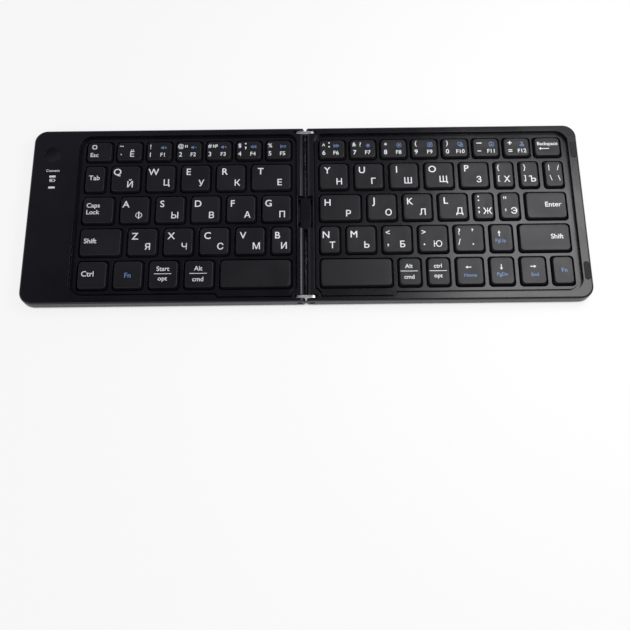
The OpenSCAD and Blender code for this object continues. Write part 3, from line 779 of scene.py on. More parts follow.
def unit_vertex(x, y, out, up):
    """A vertex of the unit cap with its two attributes."""
    vertex = unit.verts.new((x, y, 0))
    vertex[out_layer] = out
    vertex[up_layer] = up
    return vertex


loops = [[unit_vertex(p.x, p.y, out, up) for p in outline] for out, up in rings]
unit.faces.new(loops[0])
for low, high in zip(loops, loops[1:]):
    for i in range(count):
        j = (i + 1) % count
        unit.faces.new((low[i], low[j], high[j], high[i]))
top_out, top_up = rings[-1]
grid = [[unit_vertex(-1 + 2 * i / SIDE_STEPS, -1 + 2 * j / SIDE_STEPS, top_out, top_up)
         for j in range(SIDE_STEPS + 1)] for i in range(SIDE_STEPS + 1)]
for i in range(SIDE_STEPS):
    for j in range(SIDE_STEPS):
        unit.faces.new((grid[i][j], grid[i + 1][j], grid[i + 1][j + 1], grid[i][j + 1]))
last = SIDE_STEPS
borders = [
    [grid[last][j] for j in range(last + 1)],
    [grid[last - j][last] for j in range(last + 1)],
    [grid[0][last - j] for j in range(last + 1)],
    [grid[j][0] for j in range(last + 1)],
]
quarter_count = SIDE_STEPS + CORNER_STEPS
for quarter, border in enumerate(borders):
    start = quarter * quarter_count
    for i in range(SIDE_STEPS):
        unit.faces.new((border[i], loops[-1][start + i], loops[-1][start + i + 1], border[i + 1]))
    for i in range(SIDE_STEPS, quarter_count):
        a, b = loops[-1][start + i], loops[-1][(start + i + 1) % count]
        unit.faces.new((border[-1], a, b))
bmesh.ops.recalc_face_normals(unit, faces=unit.faces)
unit_cap = add_object("unit_cap", mesh_of(unit, "unit_cap"))
print("unit cap", len(unit_cap.data.polygons), "faces")

# %% [markdown]
# The tree's inputs are the sizes of the cap in metres. `half` is half the width and depth
# of a key's top, and `middle` is the key's centre; both are attributes of its point, and
# they reach the vertices when the instances are made real.


# %% The keycap tree
GEOMETRY, OBJECT, MATERIAL = "NodeSocketGeometry", "NodeSocketObject", "NodeSocketMaterial"


def new_geometry_tree(name, inputs):
    """A Geometry Nodes tree with a geometry input and output and the named inputs."""
    tree = bpy.data.node_groups.new(name, "GeometryNodeTree")
    for title, kind in [("Geometry", GEOMETRY), *inputs]:
        tree.interface.new_socket(title, in_out="INPUT", socket_type=kind)
    tree.interface.new_socket("Geometry", in_out="OUTPUT", socket_type=GEOMETRY)
    return tree, add_node(tree, "NodeGroupInput").outputs


def stamped(tree, given, name, **more):
    """The object of an input on every point, made real."""
    source = add_node(tree, "GeometryNodeObjectInfo", {"Object": given[name]})
    stamps = add_node(tree, "GeometryNodeInstanceOnPoints", {
        "Points": given["Geometry"], "Instance": source.outputs["Geometry"], **more})
    return add_node(tree, "GeometryNodeRealizeInstances", {0: stamps.outputs[0]}).outputs[0]


def end_tree(tree, given, geometry):
    """Sets the material and hands the geometry out."""
    colour = add_node(tree, "GeometryNodeSetMaterial", {"Geometry": geometry, "Material": given["Material"]})
    add_node(tree, "NodeGroupOutput", {0: colour.outputs[0]})
    lay_out(tree)
    print("tree", tree.name, "with", len(tree.nodes), "nodes")


def combined(tree, *parts):
    """A vector from three sockets or numbers."""
    return add_node(tree, "ShaderNodeCombineXYZ", dict(enumerate(parts))).outputs[0]


cap_tree, sizes = new_geometry_tree("keycaps", [
    ("Cap", OBJECT), ("Foot Height", FLOAT), ("Top Height", FLOAT), ("Corner", FLOAT),
    ("Taper", FLOAT), ("Edge", FLOAT), ("Wall", FLOAT), ("Dish", FLOAT), ("Material", MATERIAL)])
vector_of, number_of, triple = [partial(call, cap_tree) for call in (vector_node, math_node, combined)]


def attribute(name):
    """A named vector attribute as a socket."""
    return add_node(cap_tree, "GeometryNodeInputNamedAttribute", {"Name": name},
                    data_type="FLOAT_VECTOR").outputs["Attribute"]


# The place in the unit cap, split into the part in the square and the part in the corner
middle = attribute("middle")
position = add_node(cap_tree, "GeometryNodeInputPosition").outputs[0]
local = vector_of("SUBTRACT", position, middle)
inside = vector_of("MAXIMUM", vector_of("MINIMUM", local, (1, 1, 1)), (-1, -1, -1))
corner = vector_of("SUBTRACT", local, inside)

# The plan: half the top, wider by the taper and narrower by the edge and the wall
less_edge, less_wall = [number_of("MULTIPLY", sizes[name], -1) for name in ("Edge", "Wall")]
grow = vector_of("DOT_PRODUCT", attribute("out"), triple(sizes["Taper"], less_edge, less_wall))
less = number_of("SUBTRACT", grow, sizes["Corner"])
straight = vector_of("ADD", attribute("half"), triple(less, less, 0))
plan = vector_of("ADD", vector_of("MULTIPLY", inside, straight), scaled(cap_tree, corner, sizes["Corner"]))

# The height: the top, lowered to the foot, the wall or the edge and sunk by the dish
rise = number_of("SUBTRACT", sizes["Foot Height"], sizes["Top Height"])
lowered = vector_of("DOT_PRODUCT", attribute("up"), triple(rise, less_wall, less_edge))
hollow = vector_of("SUBTRACT", (1, 1, 1), vector_of("MULTIPLY", inside, inside))
shares = add_node(cap_tree, "ShaderNodeSeparateXYZ", {0: hollow}).outputs
sunk = number_of("MULTIPLY", number_of("MULTIPLY", shares[0], shares[1]), sizes["Dish"])
level = number_of("SUBTRACT", number_of("ADD", lowered, sizes["Top Height"]), sunk)

placed = vector_of("ADD", vector_of("ADD", plan, middle), triple(0, 0, level))
move = add_node(cap_tree, "GeometryNodeSetPosition", {
    "Geometry": stamped(cap_tree, sizes, "Cap"), "Position": placed})
end_tree(cap_tree, sizes, move.outputs[0])

# %% [markdown]
# The keys' places aren't written again here. Each CAD key node is cut into its separate
# caps, and the box of each cap gives its centre, width and depth. The caps of a node are
# sorted from front to back and then from left to right, and the legends use that order.

# %% Keys from the CAD
KEY_TAPER = 0.9
KEY_CORNER = 1.9
KEY_EDGE = 0.4
KEY_WALL = 0.9
KEY_DISH = 0.14
ROW_STEP = 8
KEY_NODES = [node for node, body in node_body.items() if body in press and node != "connect_button"]


def caps_of(node):
    """The caps of a key node as (centre x, centre y, top width, top depth) in mm, in reading order."""
    caps = []
    for low, high in solids_of(node):
        low, high = Vector(low) / MM, Vector(high) / MM
        size = high - low
        centre = (low + high) / 2
        caps.append((centre.x, centre.y, size.x - 2 * KEY_TAPER, size.y - 2 * KEY_TAPER))
    return sorted(caps, key=lambda cap: (round(cap[1] / ROW_STEP), cap[0]))


caps = {node: caps_of(node) for node in KEY_NODES}
FOOT_Z, TOP_Z = [corner[2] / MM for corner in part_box(KEY_NODES[0])]
print(sum(len(group) for group in caps.values()), "caps from", round(FOOT_Z, 2), "to", round(TOP_Z, 2), "mm")

# %% Build the keycaps
def points_object(places):
    """An object of loose points at places in mm."""
    mesh = bpy.data.meshes.new("points")
    mesh.from_pydata([Vector(place) * MM for place in places], [], [])
    return add_object("points", mesh)


def run_tree(tree, points, values):
    """Gives a points object a Geometry Nodes tree with its inputs set."""
    builder = points.modifiers.new(tree.name, "NODES")
    builder.node_group = tree
    for item in tree.interface.items_tree:
        if item.name in values:
            builder[item.identifier] = values[item.name]


cap_sizes = {
    "Cap": unit_cap, "Foot Height": FOOT_Z * MM, "Top Height": TOP_Z * MM, "Corner": KEY_CORNER * MM,
    "Taper": KEY_TAPER * MM, "Edge": KEY_EDGE * MM, "Wall": KEY_WALL * MM, "Dish": KEY_DISH * MM,
    "Material": finish["key_plastic"]}
for node, group in caps.items():
    points = points_object([(x, y, 0) for x, y, width, depth in group])
    halves = [(width / 2 * MM, depth / 2 * MM, 0) for x, y, width, depth in group]
    middles = [(x * MM, y * MM, 0) for x, y, width, depth in group]
    for name, vectors in (("half", halves), ("middle", middles)):
        values = points.data.attributes.new(name, "FLOAT_VECTOR", "POINT").data
        values.foreach_set("vector", [number for vector in vectors for number in vector])
    run_tree(cap_tree, points, cap_sizes)
    points.modifiers.new("normals", "WEIGHTED_NORMAL")
    mesh = show_instead(points, node, "_caps")
    for name in ("out", "up", "half", "middle"):
        if name in mesh.attributes:
            mesh.attributes.remove(mesh.attributes[name])
bpy.data.objects.remove(unit_cap)

# %% [markdown]
# ## Legends
#
# The legends are pad printed: thin films of white and blue ink that follow the dish. They
# could be painted by a texture, but real letter shapes stay sharp at any distance. The
# outlines of each text come from the built-in font, are made a little heavier and are
# filled with small triangles. Every vertex is then set a hair above the cap's own surface.

# %% Ink
INK_LIFT = 0.02
INK_HALF = 0.014
INK_WEIGHT = 0.010
MERGE = 0.0001
PROBE = 0.02
INK_STEP = 0.8
STROKE_MITRE = 0.35  # no corner of a line reaches further than its half width over this
TEXT_MITRE = 0.5


def stroke(points, width, closed=False):
    """A line of that width through the points, as quads with mitred joints."""
    points = [Vector(p) for p in points]
    sides = []
    for i, point in enumerate(points):
        before = points[i - 1] if i or closed else None
        after = points[(i + 1) % len(points)] if i + 1 < len(points) or closed else None
        steps = [(a, b) for a, b in ((before, point), (point, after)) if a is not None and b is not None]
        ways = [(b - a).normalized() for a, b in steps]
        way = sum(ways, Vector((0, 0))).normalized()
        normal = Vector((-way.y, way.x))
        flat = Vector((-ways[0].y, ways[0].x))
        offset = normal * (width / 2 / max(normal.dot(flat), STROKE_MITRE))
        sides.append((point + offset, point - offset))
    pairs = list(zip(sides, sides[1:])) + ([(sides[-1], sides[0])] if closed else [])
    return [[a[1], b[1], b[0], a[0]] for a, b in pairs]


def arc(radius, start, end, steps, centre=(0, 0)):
    """Points on an arc, its angles in degrees."""
    angles = [math.radians(start + (end - start) * i / steps) for i in range(steps + 1)]
    return [(centre[0] + radius * math.cos(a), centre[1] + radius * math.sin(a)) for a in angles]


def rounded_box(width, depth, radius, steps=3):
    """Points round a rectangle with round corners."""
    points = []
    for sx, sy, start in ((1, 1, 0), (-1, 1, 90), (-1, -1, 180), (1, -1, 270)):
        centre = (sx * (width / 2 - radius), sy * (depth / 2 - radius))
        points += arc(radius, start, start + 90, steps, centre)
    return points


def moved(polygons, x=0.0, y=0.0, turn=0.0):
    """Polygons turned by degrees and then moved."""
    spin = Matrix.Rotation(math.radians(turn), 2)
    return [[spin @ Vector(p) + Vector((x, y)) for p in polygon] for polygon in polygons]


# %% Small signs
LINE = 0.32
DOT = 0.45


def line(*points, width=LINE, closed=False):
    """A thin line through points."""
    return stroke(points, width, closed)


def bar(width, depth=0.5, x=0.0, y=0.0):
    """A filled rectangle round a point."""
    return [[(x - width / 2, y - depth / 2), (x + width / 2, y - depth / 2),
             (x + width / 2, y + depth / 2), (x - width / 2, y + depth / 2)]]


def speaker():
    """A speaker seen from the side."""
    return bar(0.6, 0.8, -1.2) + [[(-0.9, -0.4), (-0.1, -1.0), (-0.1, 1.0), (-0.9, 0.4)]]


def triangle(x, turn=0):
    """A triangle drawn as a line. Without a turn it points to the right."""
    return moved(line((-0.55, -0.75), (0.65, 0), (-0.55, 0.75), closed=True), x, 0, turn)


def sun(radius, ray, rays=8):
    """A disc with rays."""
    sign = [arc(radius, 0, 337.5, 15)]
    for i in range(rays):
        sign += moved(line((radius + 0.25, 0), (radius + 0.25 + ray, 0)), turn=360 * i / rays)
    return sign


def page(x, y, size):
    """The round outline of a small page."""
    return moved(line(*rounded_box(size, size, 0.3), closed=True), x, y)


def arrow(length, turn):
    """An arrow with a solid head."""
    half = length / 2
    shaft = bar(length - 1.2, 0.44, -0.6)
    return moved(shaft + [[(half - 1.2, -0.8), (half, 0), (half - 1.2, 0.8)]], turn=turn)


def dot(x=0.0, y=0.0):
    """A full stop."""
    return [arc(DOT, 0, 330, 11, (x, y))]


def comma(x=0.0, y=0.0):
    """A full stop with a tail."""
    tail = [(0.05, -0.3), (DOT, -0.05), (0.32, -0.62), (-0.08, -1.12), (-0.38, -1.22)]
    return dot(x, y) + moved([tail], x, y)


def tick(x=0.0):
    """One of the marks of a quotation, wider at its top."""
    return [[(x - 0.16, -0.75), (x + 0.16, -0.75), (x + 0.30, 0.75), (x - 0.30, 0.75)]]


def blade(side):
    """One half of a pair of scissors."""
    ring = moved(line(*arc(0.42, 0, 324, 9), closed=True), -0.65 * side, -1.0)
    return ring + line((-0.45 * side, -0.6), (0.65 * side, 1.4))


quieter = speaker() + line((0.4, 0), (1.5, 0))
SIGNS = {
    ".": dot(), ",": comma(0, 0.3), ":": dot(0, 1.15) + dot(0, -1.15), ";": dot(0, 1.3) + comma(0, -1.0),
    '"': tick(-0.5) + tick(0.5), "'": tick(), "-": bar(2.0), "—": bar(2.9),
    "=": bar(2.1, y=0.5) + bar(2.1, y=-0.5),
    "+": bar(2.3) + bar(0.5, 0.9, 0, 0.7) + bar(0.5, 0.9, 0, -0.7),
    "mute": speaker() + line((0.4, -0.6), (1.5, 0.6)) + line((0.4, 0.6), (1.5, -0.6)),
    "quieter": quieter, "louder": quieter + line((0.95, -0.55), (0.95, 0.55)),
    "back": triangle(-0.8, 180) + triangle(0.8, 180), "forward": triangle(-0.8) + triangle(0.8),
    "play": triangle(-0.8) + line((0.5, -0.75), (0.5, 0.75)) + line((1.25, -0.75), (1.25, 0.75)),
    "dimmer": sun(0.75, 0.25), "brighter": sun(0.5, 0.85),
    "select": page(0, 0, 2.4) + line((-0.7, 0), (0.7, 0)) + line((-0.4, 0.55), (0.7, 0.55))
    + line((-0.7, -0.55), (0.4, -0.55)),
    "copy": page(-0.35, 0.35, 1.9) + page(0.45, -0.45, 1.5),
    "paste": page(0, -0.1, 2.3) + bar(1.0, 0.6, 0, 1.1) + line((-0.6, -0.1), (0.6, -0.1))
    + line((-0.6, -0.65), (0.6, -0.65)),
    "cut": blade(1) + blade(-1),
    "square": line(*rounded_box(2.1, 2.1, 0.6), width=0.5, closed=True), "rule": bar(9.0, 0.32),
    "up": arrow(3.1, 90), "down": arrow(3.1, -90), "left": arrow(3.1, 180), "right": arrow(3.1, 0),
    "long_left": arrow(5.6, 180),
    "cell": line(*rounded_box(2.6, 1.5, 0.25), width=0.24, closed=True) + bar(0.3, 0.7, 1.65)
    + bar(1.05, 0.8, -0.425),
}
print(len(SIGNS), "signs")

# %% [markdown]
# The tables below say what is printed on each cap: the text or the sign, the offset in X
# and Y and the size of the letters, in white ink unless blue is named. A sign has its own
# size. Letter keys carry two alphabets, the Latin letter at the upper left and the
# Cyrillic one at the lower right.

# %% What is printed
LATIN = 5.4
CYRILLIC = 5.1
DIGIT = 3.8
LABEL = 3.3
NAVIGATION = 2.7
WHITE_INK, BLUE_INK = "white_ink", "blue_ink"

# By letter key: the place of the Latin letter, then the Cyrillic letter and its place
LETTERS = {
    "q": (-4.6, 3.6, "Й", 2.6, -2.9), "w": (-3.9, 3.7, "Ц", 3.2, -3.0), "e": (-4.0, 3.6, "У", 3.1, -3.2),
    "r": (-3.4, 3.5, "К", 3.5, -3.2), "t": (-5.8, 3.5, "Е", 4.5, -3.2), "y": (-3.5, 3.5, "Н", 2.9, -3.2),
    "u": (-3.7, 3.5, "Г", 2.3, -3.1), "i": (-3.9, 3.6, "Ш", 2.1, -3.0), "o": (-3.6, 3.6, "Щ", 2.2, -2.8),
    "p": (-4.2, 3.8, "З", 2.4, -2.8), "a": (-4.7, 3.2, "Ф", 2.4, -3.3), "s": (-4.3, 3.2, "Ы", 2.7, -3.5),
    "d": (-4.1, 3.1, "В", 3.2, -3.6), "f": (-4.6, 3.0, "А", 3.4, -3.6), "g": (-4.3, 2.9, "П", 3.0, -3.6),
    "h": (-6.8, 2.9, "Р", 4.2, -3.5), "j": (-4.1, 3.0, "О", 3.4, -3.2), "k": (-4.1, 3.1, "Л", 2.7, -3.1),
    "l": (-3.9, 3.3, "Д", 3.3, -3.1), "z": (-4.0, 3.1, "Я", 3.0, -2.8), "x": (-3.8, 3.1, "Ч", 3.3, -2.9),
    "c": (-3.6, 3.0, "С", 3.3, -3.1), "v": (-3.8, 2.9, "М", 3.3, -3.1), "b": (-2.1, 2.8, "И", 1.4, -3.1),
    "n": (-2.1, 2.8, "Т", 1.2, -3.1), "m": (-3.8, 2.9, "Ь", 2.8, -3.1),
}


def number_key(symbols, digit, x, sign, label, dx):
    """The print of a number key: symbols above the digit at x, a sign above its label at dx."""
    printed = [(text, sx, 2.55, size[0] if size else DIGIT) for text, sx, *size in symbols]
    printed += [(digit, x, -2.3, DIGIT), (label, dx, -2.35, LABEL)]
    return printed + [(sign, dx + 0.3, 1.9, 0, BLUE_INK)]


def split(top, bottom, x, size):
    """Two words with a line between them."""
    return [(top, x, 3.1, size), ("rule", x, 0.3, 0), (bottom, x, -2.9, size)]


def arrow_key(sign, x, y, label, dx=0, dy=-2.3):
    """An arrow above a blue word."""
    return [(sign, x, y, 0), (label, dx, dy, NAVIGATION, BLUE_INK)]


PRINT = {
    **{"key_" + letter: [[(letter.upper(), x, y, LATIN), (other, ox, oy, CYRILLIC)]]
       for letter, (x, y, other, ox, oy) in LETTERS.items()},
    "left_number_keys": [
        [("square", -2.9, 2.7, 0), ("Esc", -2.8, -2.1, 3.5)],
        [("~", -4.4, 3.1, DIGIT), ("`", -4.4, -2.0, 4.6), ("Ё", 1.5, -1.2, 4.7)],
        number_key([("!", -4.8)], "1", -4.8, "mute", "F1", 2.1),
        number_key([("@", -4.6, 3.2), ('"', -1.6)], "2", -4.6, "quieter", "F2", 2.3),
        number_key([("#", -5.0, 3.2), ("№", -2.0, 2.7)], "3", -4.9, "louder", "F3", 2.4),
        number_key([("$", -4.9, 3.4), (";", -1.7)], "4", -4.9, "back", "F4", 2.3),
        number_key([("%", -4.6, 3.4)], "5", -4.7, "play", "F5", 2.2)],
    "right_number_keys": [
        number_key([("^", -4.6), (":", -1.6)], "6", -4.5, "forward", "F6", 2.1),
        number_key([("&", -4.7, 3.3), ("?", -1.4, 3.4)], "7", -4.5, "dimmer", "F7", 2.6),
        number_key([("*", -4.3)], "8", -4.4, "brighter", "F8", 2.7),
        number_key([("(", -4.6)], "9", -4.5, "select", "F9", 2.9),
        number_key([(")", -4.2)], "0", -4.2, "copy", "F10", 2.8),
        number_key([("—", -3.5)], "-", -3.6, "paste", "F11", 2.9),
        number_key([("+", -3.5)], "=", -3.5, "cut", "F12", 2.8),
        [("Backspace", 0.1, 1.5, 2.75), ("long_left", -1.9, -1.2, 0)]],
    "left_command_keys": [
        [("Ctrl", 0, 0.7, 4.1)], [("Fn", -0.1, -0.3, 3.9, BLUE_INK)],
        split("Start", "opt", -0.4, 3.5), split("Alt", "cmd", -0.5, 3.5), [("Shift", 0, 0.7, 3.8)],
        [("Caps", 0, 2.4, 3.6), ("Lock", 0, -1.2, 3.6)], [("Tab", 0, 0.6, 3.9)]],
    "right_command_keys": [
        split("Alt", "cmd", -0.5, 3.2), split("ctrl", "opt", -0.4, 3.2),
        arrow_key("left", -0.8, 2.1, "Home"), arrow_key("down", -0.3, 2.0, "PgDn"),
        arrow_key("right", 0, 2.2, "End", 0.5), [("Fn", 0.5, 0, 3.4, BLUE_INK)],
        arrow_key("up", -1.2, 2.5, "PgUp", -0.7, -1.9), [("Shift", 0, 0.5, 3.8)], [("Enter", 0, 0.5, 4.0)]],
    "punctuation_keys": [
        [("<", -4.9, 3.7, 4.4), (",", -4.9, -3.6, 5.2), ("Б", 2.7, -3.0, CYRILLIC)],
        [(">", -4.9, 3.7, 4.4), (".", -4.8, -3.4, 5.2), ("Ю", 2.3, -3.0, CYRILLIC)],
        [("?", -5.2, 3.7, 4.9), (",", 1.9, 4.6, 4.8), ("/", -5.3, -2.2, 4.9), (".", 1.9, -3.5, 4.8)],
        [(":", -2.7, 4.3, 4.8), (";", -2.8, -2.5, 4.8), ("Ж", 1.8, -3.0, CYRILLIC)],
        [('"', -2.4, 4.5, 4.4), ("'", -2.4, -2.7, 4.4), ("Э", 2.1, -3.0, CYRILLIC)],
        [("{", -3.1, 3.8, 3.9), ("[", -3.1, -2.6, 3.9), ("Х", 1.3, -2.8, CYRILLIC)],
        [("}", -2.3, 3.8, 3.9), ("]", -2.3, -2.6, 3.9), ("Ъ", 1.6, -2.8, 4.9)],
        [("|", -2.5, 3.7, 3.9), ("/", 2.4, 3.6, 4.2), ("\\", -1.8, -2.4, 4.2), ("\\", 2.6, -2.6, 4.2)]],
}

# Words that start or end at a margin instead of the middle: (side, margin) by node and cap
MARGINS = {
    ("left_command_keys", 0): (-1, 1.6), ("left_command_keys", 4): (-1, 1.7),
    ("left_command_keys", 5): (-1, 1.6), ("left_command_keys", 6): (-1, 1.7),
    ("right_command_keys", 7): (1, 3.2), ("right_command_keys", 8): (1, 2.5),
}
print(sum(len(cap) for group in PRINT.values() for cap in group), "prints")


# %% Print them
OUTLINE_STEPS = 5


def outlines(text, size, align):
    """The outlines of a text in mm, each a row of points, with the middle height at zero."""
    data = bpy.data.curves.new("text", "FONT")
    data.body = text
    data.size = size
    data.align_x = align
    data.resolution_u = OUTLINE_STEPS
    data.fill_mode = "NONE"
    holder = add_object("text", data)
    wire = mesh_with_modifiers(holder)
    heights = [vertex.co.y for vertex in wire.vertices]
    rise = (min(heights) + max(heights)) / 2
    points = [(vertex.co.x, vertex.co.y - rise) for vertex in wire.vertices]
    # The edge that closes an outline is the only one between vertices that aren't neighbours
    ends = [max(edge.vertices) + 1 for edge in wire.edges if abs(edge.vertices[0] - edge.vertices[1]) != 1]
    bpy.data.objects.remove(holder)
    bpy.data.meshes.remove(wire)
    return [points[start:end] for start, end in zip([0] + ends, ends)]


def turns_round(loops, spots):
    """How often the outlines go round each spot. A spot is in the ink if that isn't zero."""
    spots = np.array(spots)[:, None, :]
    count = np.zeros(len(spots), int)
    for loop in loops:
        start = np.array([tuple(p) for p in loop])
        end = np.roll(start, -1, axis=0)
        way, reach = end - start, spots - start
        side = way[:, 0] * reach[:, :, 1] - way[:, 1] * reach[:, :, 0]
        below, next_below = start[:, 1] <= spots[:, :, 1], end[:, 1] <= spots[:, :, 1]
        count += (below & ~next_below & (side > 0)).sum(axis=1)
        count -= (~below & next_below & (side < 0)).sum(axis=1)
    return count


def heavier(loops, weight):
    """The outlines moved away from the ink. The ink may lie on either side of an outline."""
    grown = []
    for loop in loops:
        points = [Vector(p) for i, p in enumerate(loop) if math.dist(p, loop[i - 1]) > MERGE]
        ways = [(points[(i + 1) % len(points)] - point).normalized() for i, point in enumerate(points)]
        left = [Vector((-way.y, way.x)) for way in ways]
        longest = max(range(len(points)), key=lambda i: (points[i] - points[i - 1]).length)
        probe = (points[longest] + points[longest - 1]) / 2 + left[longest - 1] * PROBE
        push = -weight if turns_round(loops, [tuple(probe)])[0] else weight
        new = []
        for i, point in enumerate(points):
            mitre = (left[i] + left[i - 1]).normalized()
            new.append(point + mitre * (push / max(mitre.dot(left[i]), TEXT_MITRE)))
        grown.append(new)
    return grown


def finer(loop):
    """An outline with points added, so that its ink can follow a curved top."""
    points = []
    for a, b in zip(loop, loop[1:] + loop[:1]):
        parts = math.ceil(math.dist(a, b) / INK_STEP)
        points += [Vector(a).lerp(Vector(b), i / parts) for i in range(parts)]
    return points


def sheet_of_ink(loops):
    """The area inside the outlines as a thin closed mesh of small triangles, in metres."""
    loops = [finer(loop) for loop in loops]
    points = [point for loop in loops for point in loop]
    low_x, high_x = min(p.x for p in points), max(p.x for p in points)
    low_y, high_y = min(p.y for p in points), max(p.y for p in points)
    edges = []
    for loop in loops:
        first = len(edges)
        edges += [(first + i, first + (i + 1) % len(loop)) for i in range(len(loop))]
    points += [Vector((x, y)) for x in np.arange(low_x, high_x, INK_STEP)
               for y in np.arange(low_y, high_y, INK_STEP)]
    points, _, faces, *_ = delaunay_2d_cdt(points, edges, [], 0, MERGE)
    middles = [sum((points[i] for i in face), Vector((0, 0))) / 3 for face in faces]
    inked = [face for face, turns in zip(faces, turns_round(loops, middles)) if turns]
    work = bmesh.new()
    low, high = [[work.verts.new((p.x * MM, p.y * MM, z * MM)) for p in points]
                 for z in (-INK_HALF, INK_HALF)]
    directed = {(face[i], face[i - 2]) for face in inked for i in range(3)}
    for face in inked:
        work.faces.new([high[i] for i in face])
        work.faces.new([low[i] for i in reversed(face)])
    for i, j in directed:
        if (j, i) not in directed:
            work.faces.new((low[i], low[j], high[j], high[i]))
    bmesh.ops.delete(work, geom=[v for v in work.verts if not v.link_faces], context="VERTS")
    return mesh_of(work, "ink", smooth=False)


def counter_clockwise(loop):
    """The loop, turned over if it runs clockwise."""
    area = sum(loop[i - 1][0] * p[1] - p[0] * loop[i - 1][1] for i, p in enumerate(loop))
    return loop if area > 0 else loop[::-1]


def printed_shape(text, size=0, align="CENTER"):
    """A sign or a text as a sheet of ink."""
    if text in SIGNS:
        return sheet_of_ink([counter_clockwise(loop) for loop in SIGNS[text]])
    return sheet_of_ink(heavier(outlines(text, size, align), INK_WEIGHT * size))


def cap_surface(cap, x, y):
    """Height of a cap's top at a point, in metres, by the rule of the keycap tree."""
    centre_x, centre_y, width, depth = cap
    shares = []
    for offset, length in ((x / MM - centre_x, width), (y / MM - centre_y, depth)):
        straight = length / 2 - KEY_CORNER - KEY_EDGE
        shares.append(max(-1, min(1, offset / straight)))
    bowl = (1 - shares[0] ** 2) * (1 - shares[1] ** 2)
    return (TOP_Z - KEY_DISH * bowl) * MM


def add_print(name, meshes, ink, node):
    """Joins sheets of ink to one piece that rides with a CAD node."""
    work = bmesh.new()
    for mesh in meshes:
        work.from_mesh(mesh)
        bpy.data.meshes.remove(mesh)
    joined = mesh_of(work, name, smooth=False)
    joined.materials.append(finish[ink])
    add_piece(name, joined, node, stands_for_it=False)


sheets = {}
for node, group in PRINT.items():
    for index, (cap, printed) in enumerate(zip(caps[node], group)):
        side, margin = MARGINS.get((node, index), (0, 0))
        for text, x, y, size, *ink in printed:
            align = ("RIGHT", "LEFT")[side < 0] if side else "CENTER"
            anchor = cap[0] + side * (cap[2] / 2 - margin) if side else cap[0] + x
            mesh = printed_shape(text, size, align)
            mesh.transform(Matrix.Translation((anchor * MM, (cap[1] + y) * MM, 0)))
            for vertex in mesh.vertices:
                vertex.co.z += cap_surface(cap, vertex.co.x, vertex.co.y) + INK_LIFT * MM
            sheets.setdefault((node, ink[0] if ink else WHITE_INK), []).append(mesh)
print(sum(len(meshes) for meshes in sheets.values()), "prints in", len(sheets), "pieces")
for (node, ink), meshes in sheets.items():
    add_print(node + "_" + ink, meshes, ink, node)

# %% [markdown]
# The band at the left end has one word and one sign by the two lights.

# %% Print on the band
BAND_X = -137.2
BAND_PRINTS = [("Connect", 2.1, 26.0), ("cell", 0, 20.1)]  # what, its size and its Y
case_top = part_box("left_frame")[1][2]
meshes = []
for text, size, y in BAND_PRINTS:
    meshes.append(printed_shape(text, size))
    meshes[-1].transform(Matrix.Translation((BAND_X * MM, y * MM, case_top)))
add_print("band_print", meshes, WHITE_INK, "left_frame")

# %% [markdown]
# ## Connect button
#
# The button is a turned shape: a shallow hollow for the fingertip, a soft rim, a flange
# that holds it under the case and a stem over the switch. A profile turned about its axis
# gives all of it at once, with the poles closed.


# %% Turned pieces
def circle(work, radius, z, steps, x=0.0, y=0.0):
    """New vertices round a circle, its sizes in mm."""
    angles = [2 * math.pi * i / steps for i in range(steps)]
    return [work.verts.new(((x + radius * math.cos(a)) * MM, (y + radius * math.sin(a)) * MM, z * MM))
            for a in angles]


def bridged(work, low, high):
    """Faces between two rings of vertices. A ring of one vertex is a pole."""
    steps = max(len(low), len(high))
    for i in range(steps):
        j = (i + 1) % steps
        ring = [low[i % len(low)], high[i % len(high)]]
        if len(high) > 1:
            ring.append(high[j])
        if len(low) > 1:
            ring.append(low[j])
        work.faces.new(ring)


def turned(profile, steps, x=0.0, y=0.0):
    """A closed mesh from a profile of (radius, height) in mm, turned about a vertical axis."""
    work = bmesh.new()
    loops = [circle(work, radius, z, steps if radius else 1, x, y) for radius, z in profile]
    for low, high in zip(loops, loops[1:]):
        bridged(work, low, high)
    bmesh.ops.recalc_face_normals(work, faces=work.faces)
    for edge in work.edges:
        edge.smooth = edge.calc_face_angle(0) < SHARP
    return mesh_of(work, "turned")


BUTTON_RADIUS = 4.7
BUTTON_LIP = 0.25
DISH_RADIUS = 30
DISH_DEPTH = 0.35
DISH_RINGS = (0, 0.8, 1.6, 2.4, 3.2, 3.9, 4.3)
LIP_STEPS = 4
RIM_DROP = 0.02
FLANGE = 0.7
FLANGE_DEPTH = 1.2
STEM_RADIUS = 1.5
BUTTON_STEPS = 64
button_low, button_high = [Vector(corner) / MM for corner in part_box("connect_button")]
button_x, button_y, _ = (button_low + button_high) / 2
top = button_high.z
profile = [(r, top - DISH_DEPTH + DISH_RADIUS - math.sqrt(DISH_RADIUS ** 2 - r ** 2)) for r in DISH_RINGS]
for step in range(LIP_STEPS + 1):
    angle = math.pi / 2 * step / LIP_STEPS
    profile.append((BUTTON_RADIUS - BUTTON_LIP + BUTTON_LIP * math.sin(angle),
                    top - RIM_DROP - BUTTON_LIP * (1 - math.cos(angle))))
flange_top = top - FLANGE_DEPTH
profile += [(BUTTON_RADIUS, flange_top), (BUTTON_RADIUS + FLANGE, flange_top),
            (BUTTON_RADIUS + FLANGE, flange_top - FLANGE), (STEM_RADIUS, flange_top - FLANGE),
            (STEM_RADIUS, button_low.z), (0, button_low.z)]
mesh = turned(profile, BUTTON_STEPS, button_x, button_y)
mesh.materials.append(finish["case_plastic"])
add_piece("connect_button_fine", mesh, "connect_button")
print("button", len(mesh.polygons), "faces at", round(button_x, 1), round(button_y, 1))

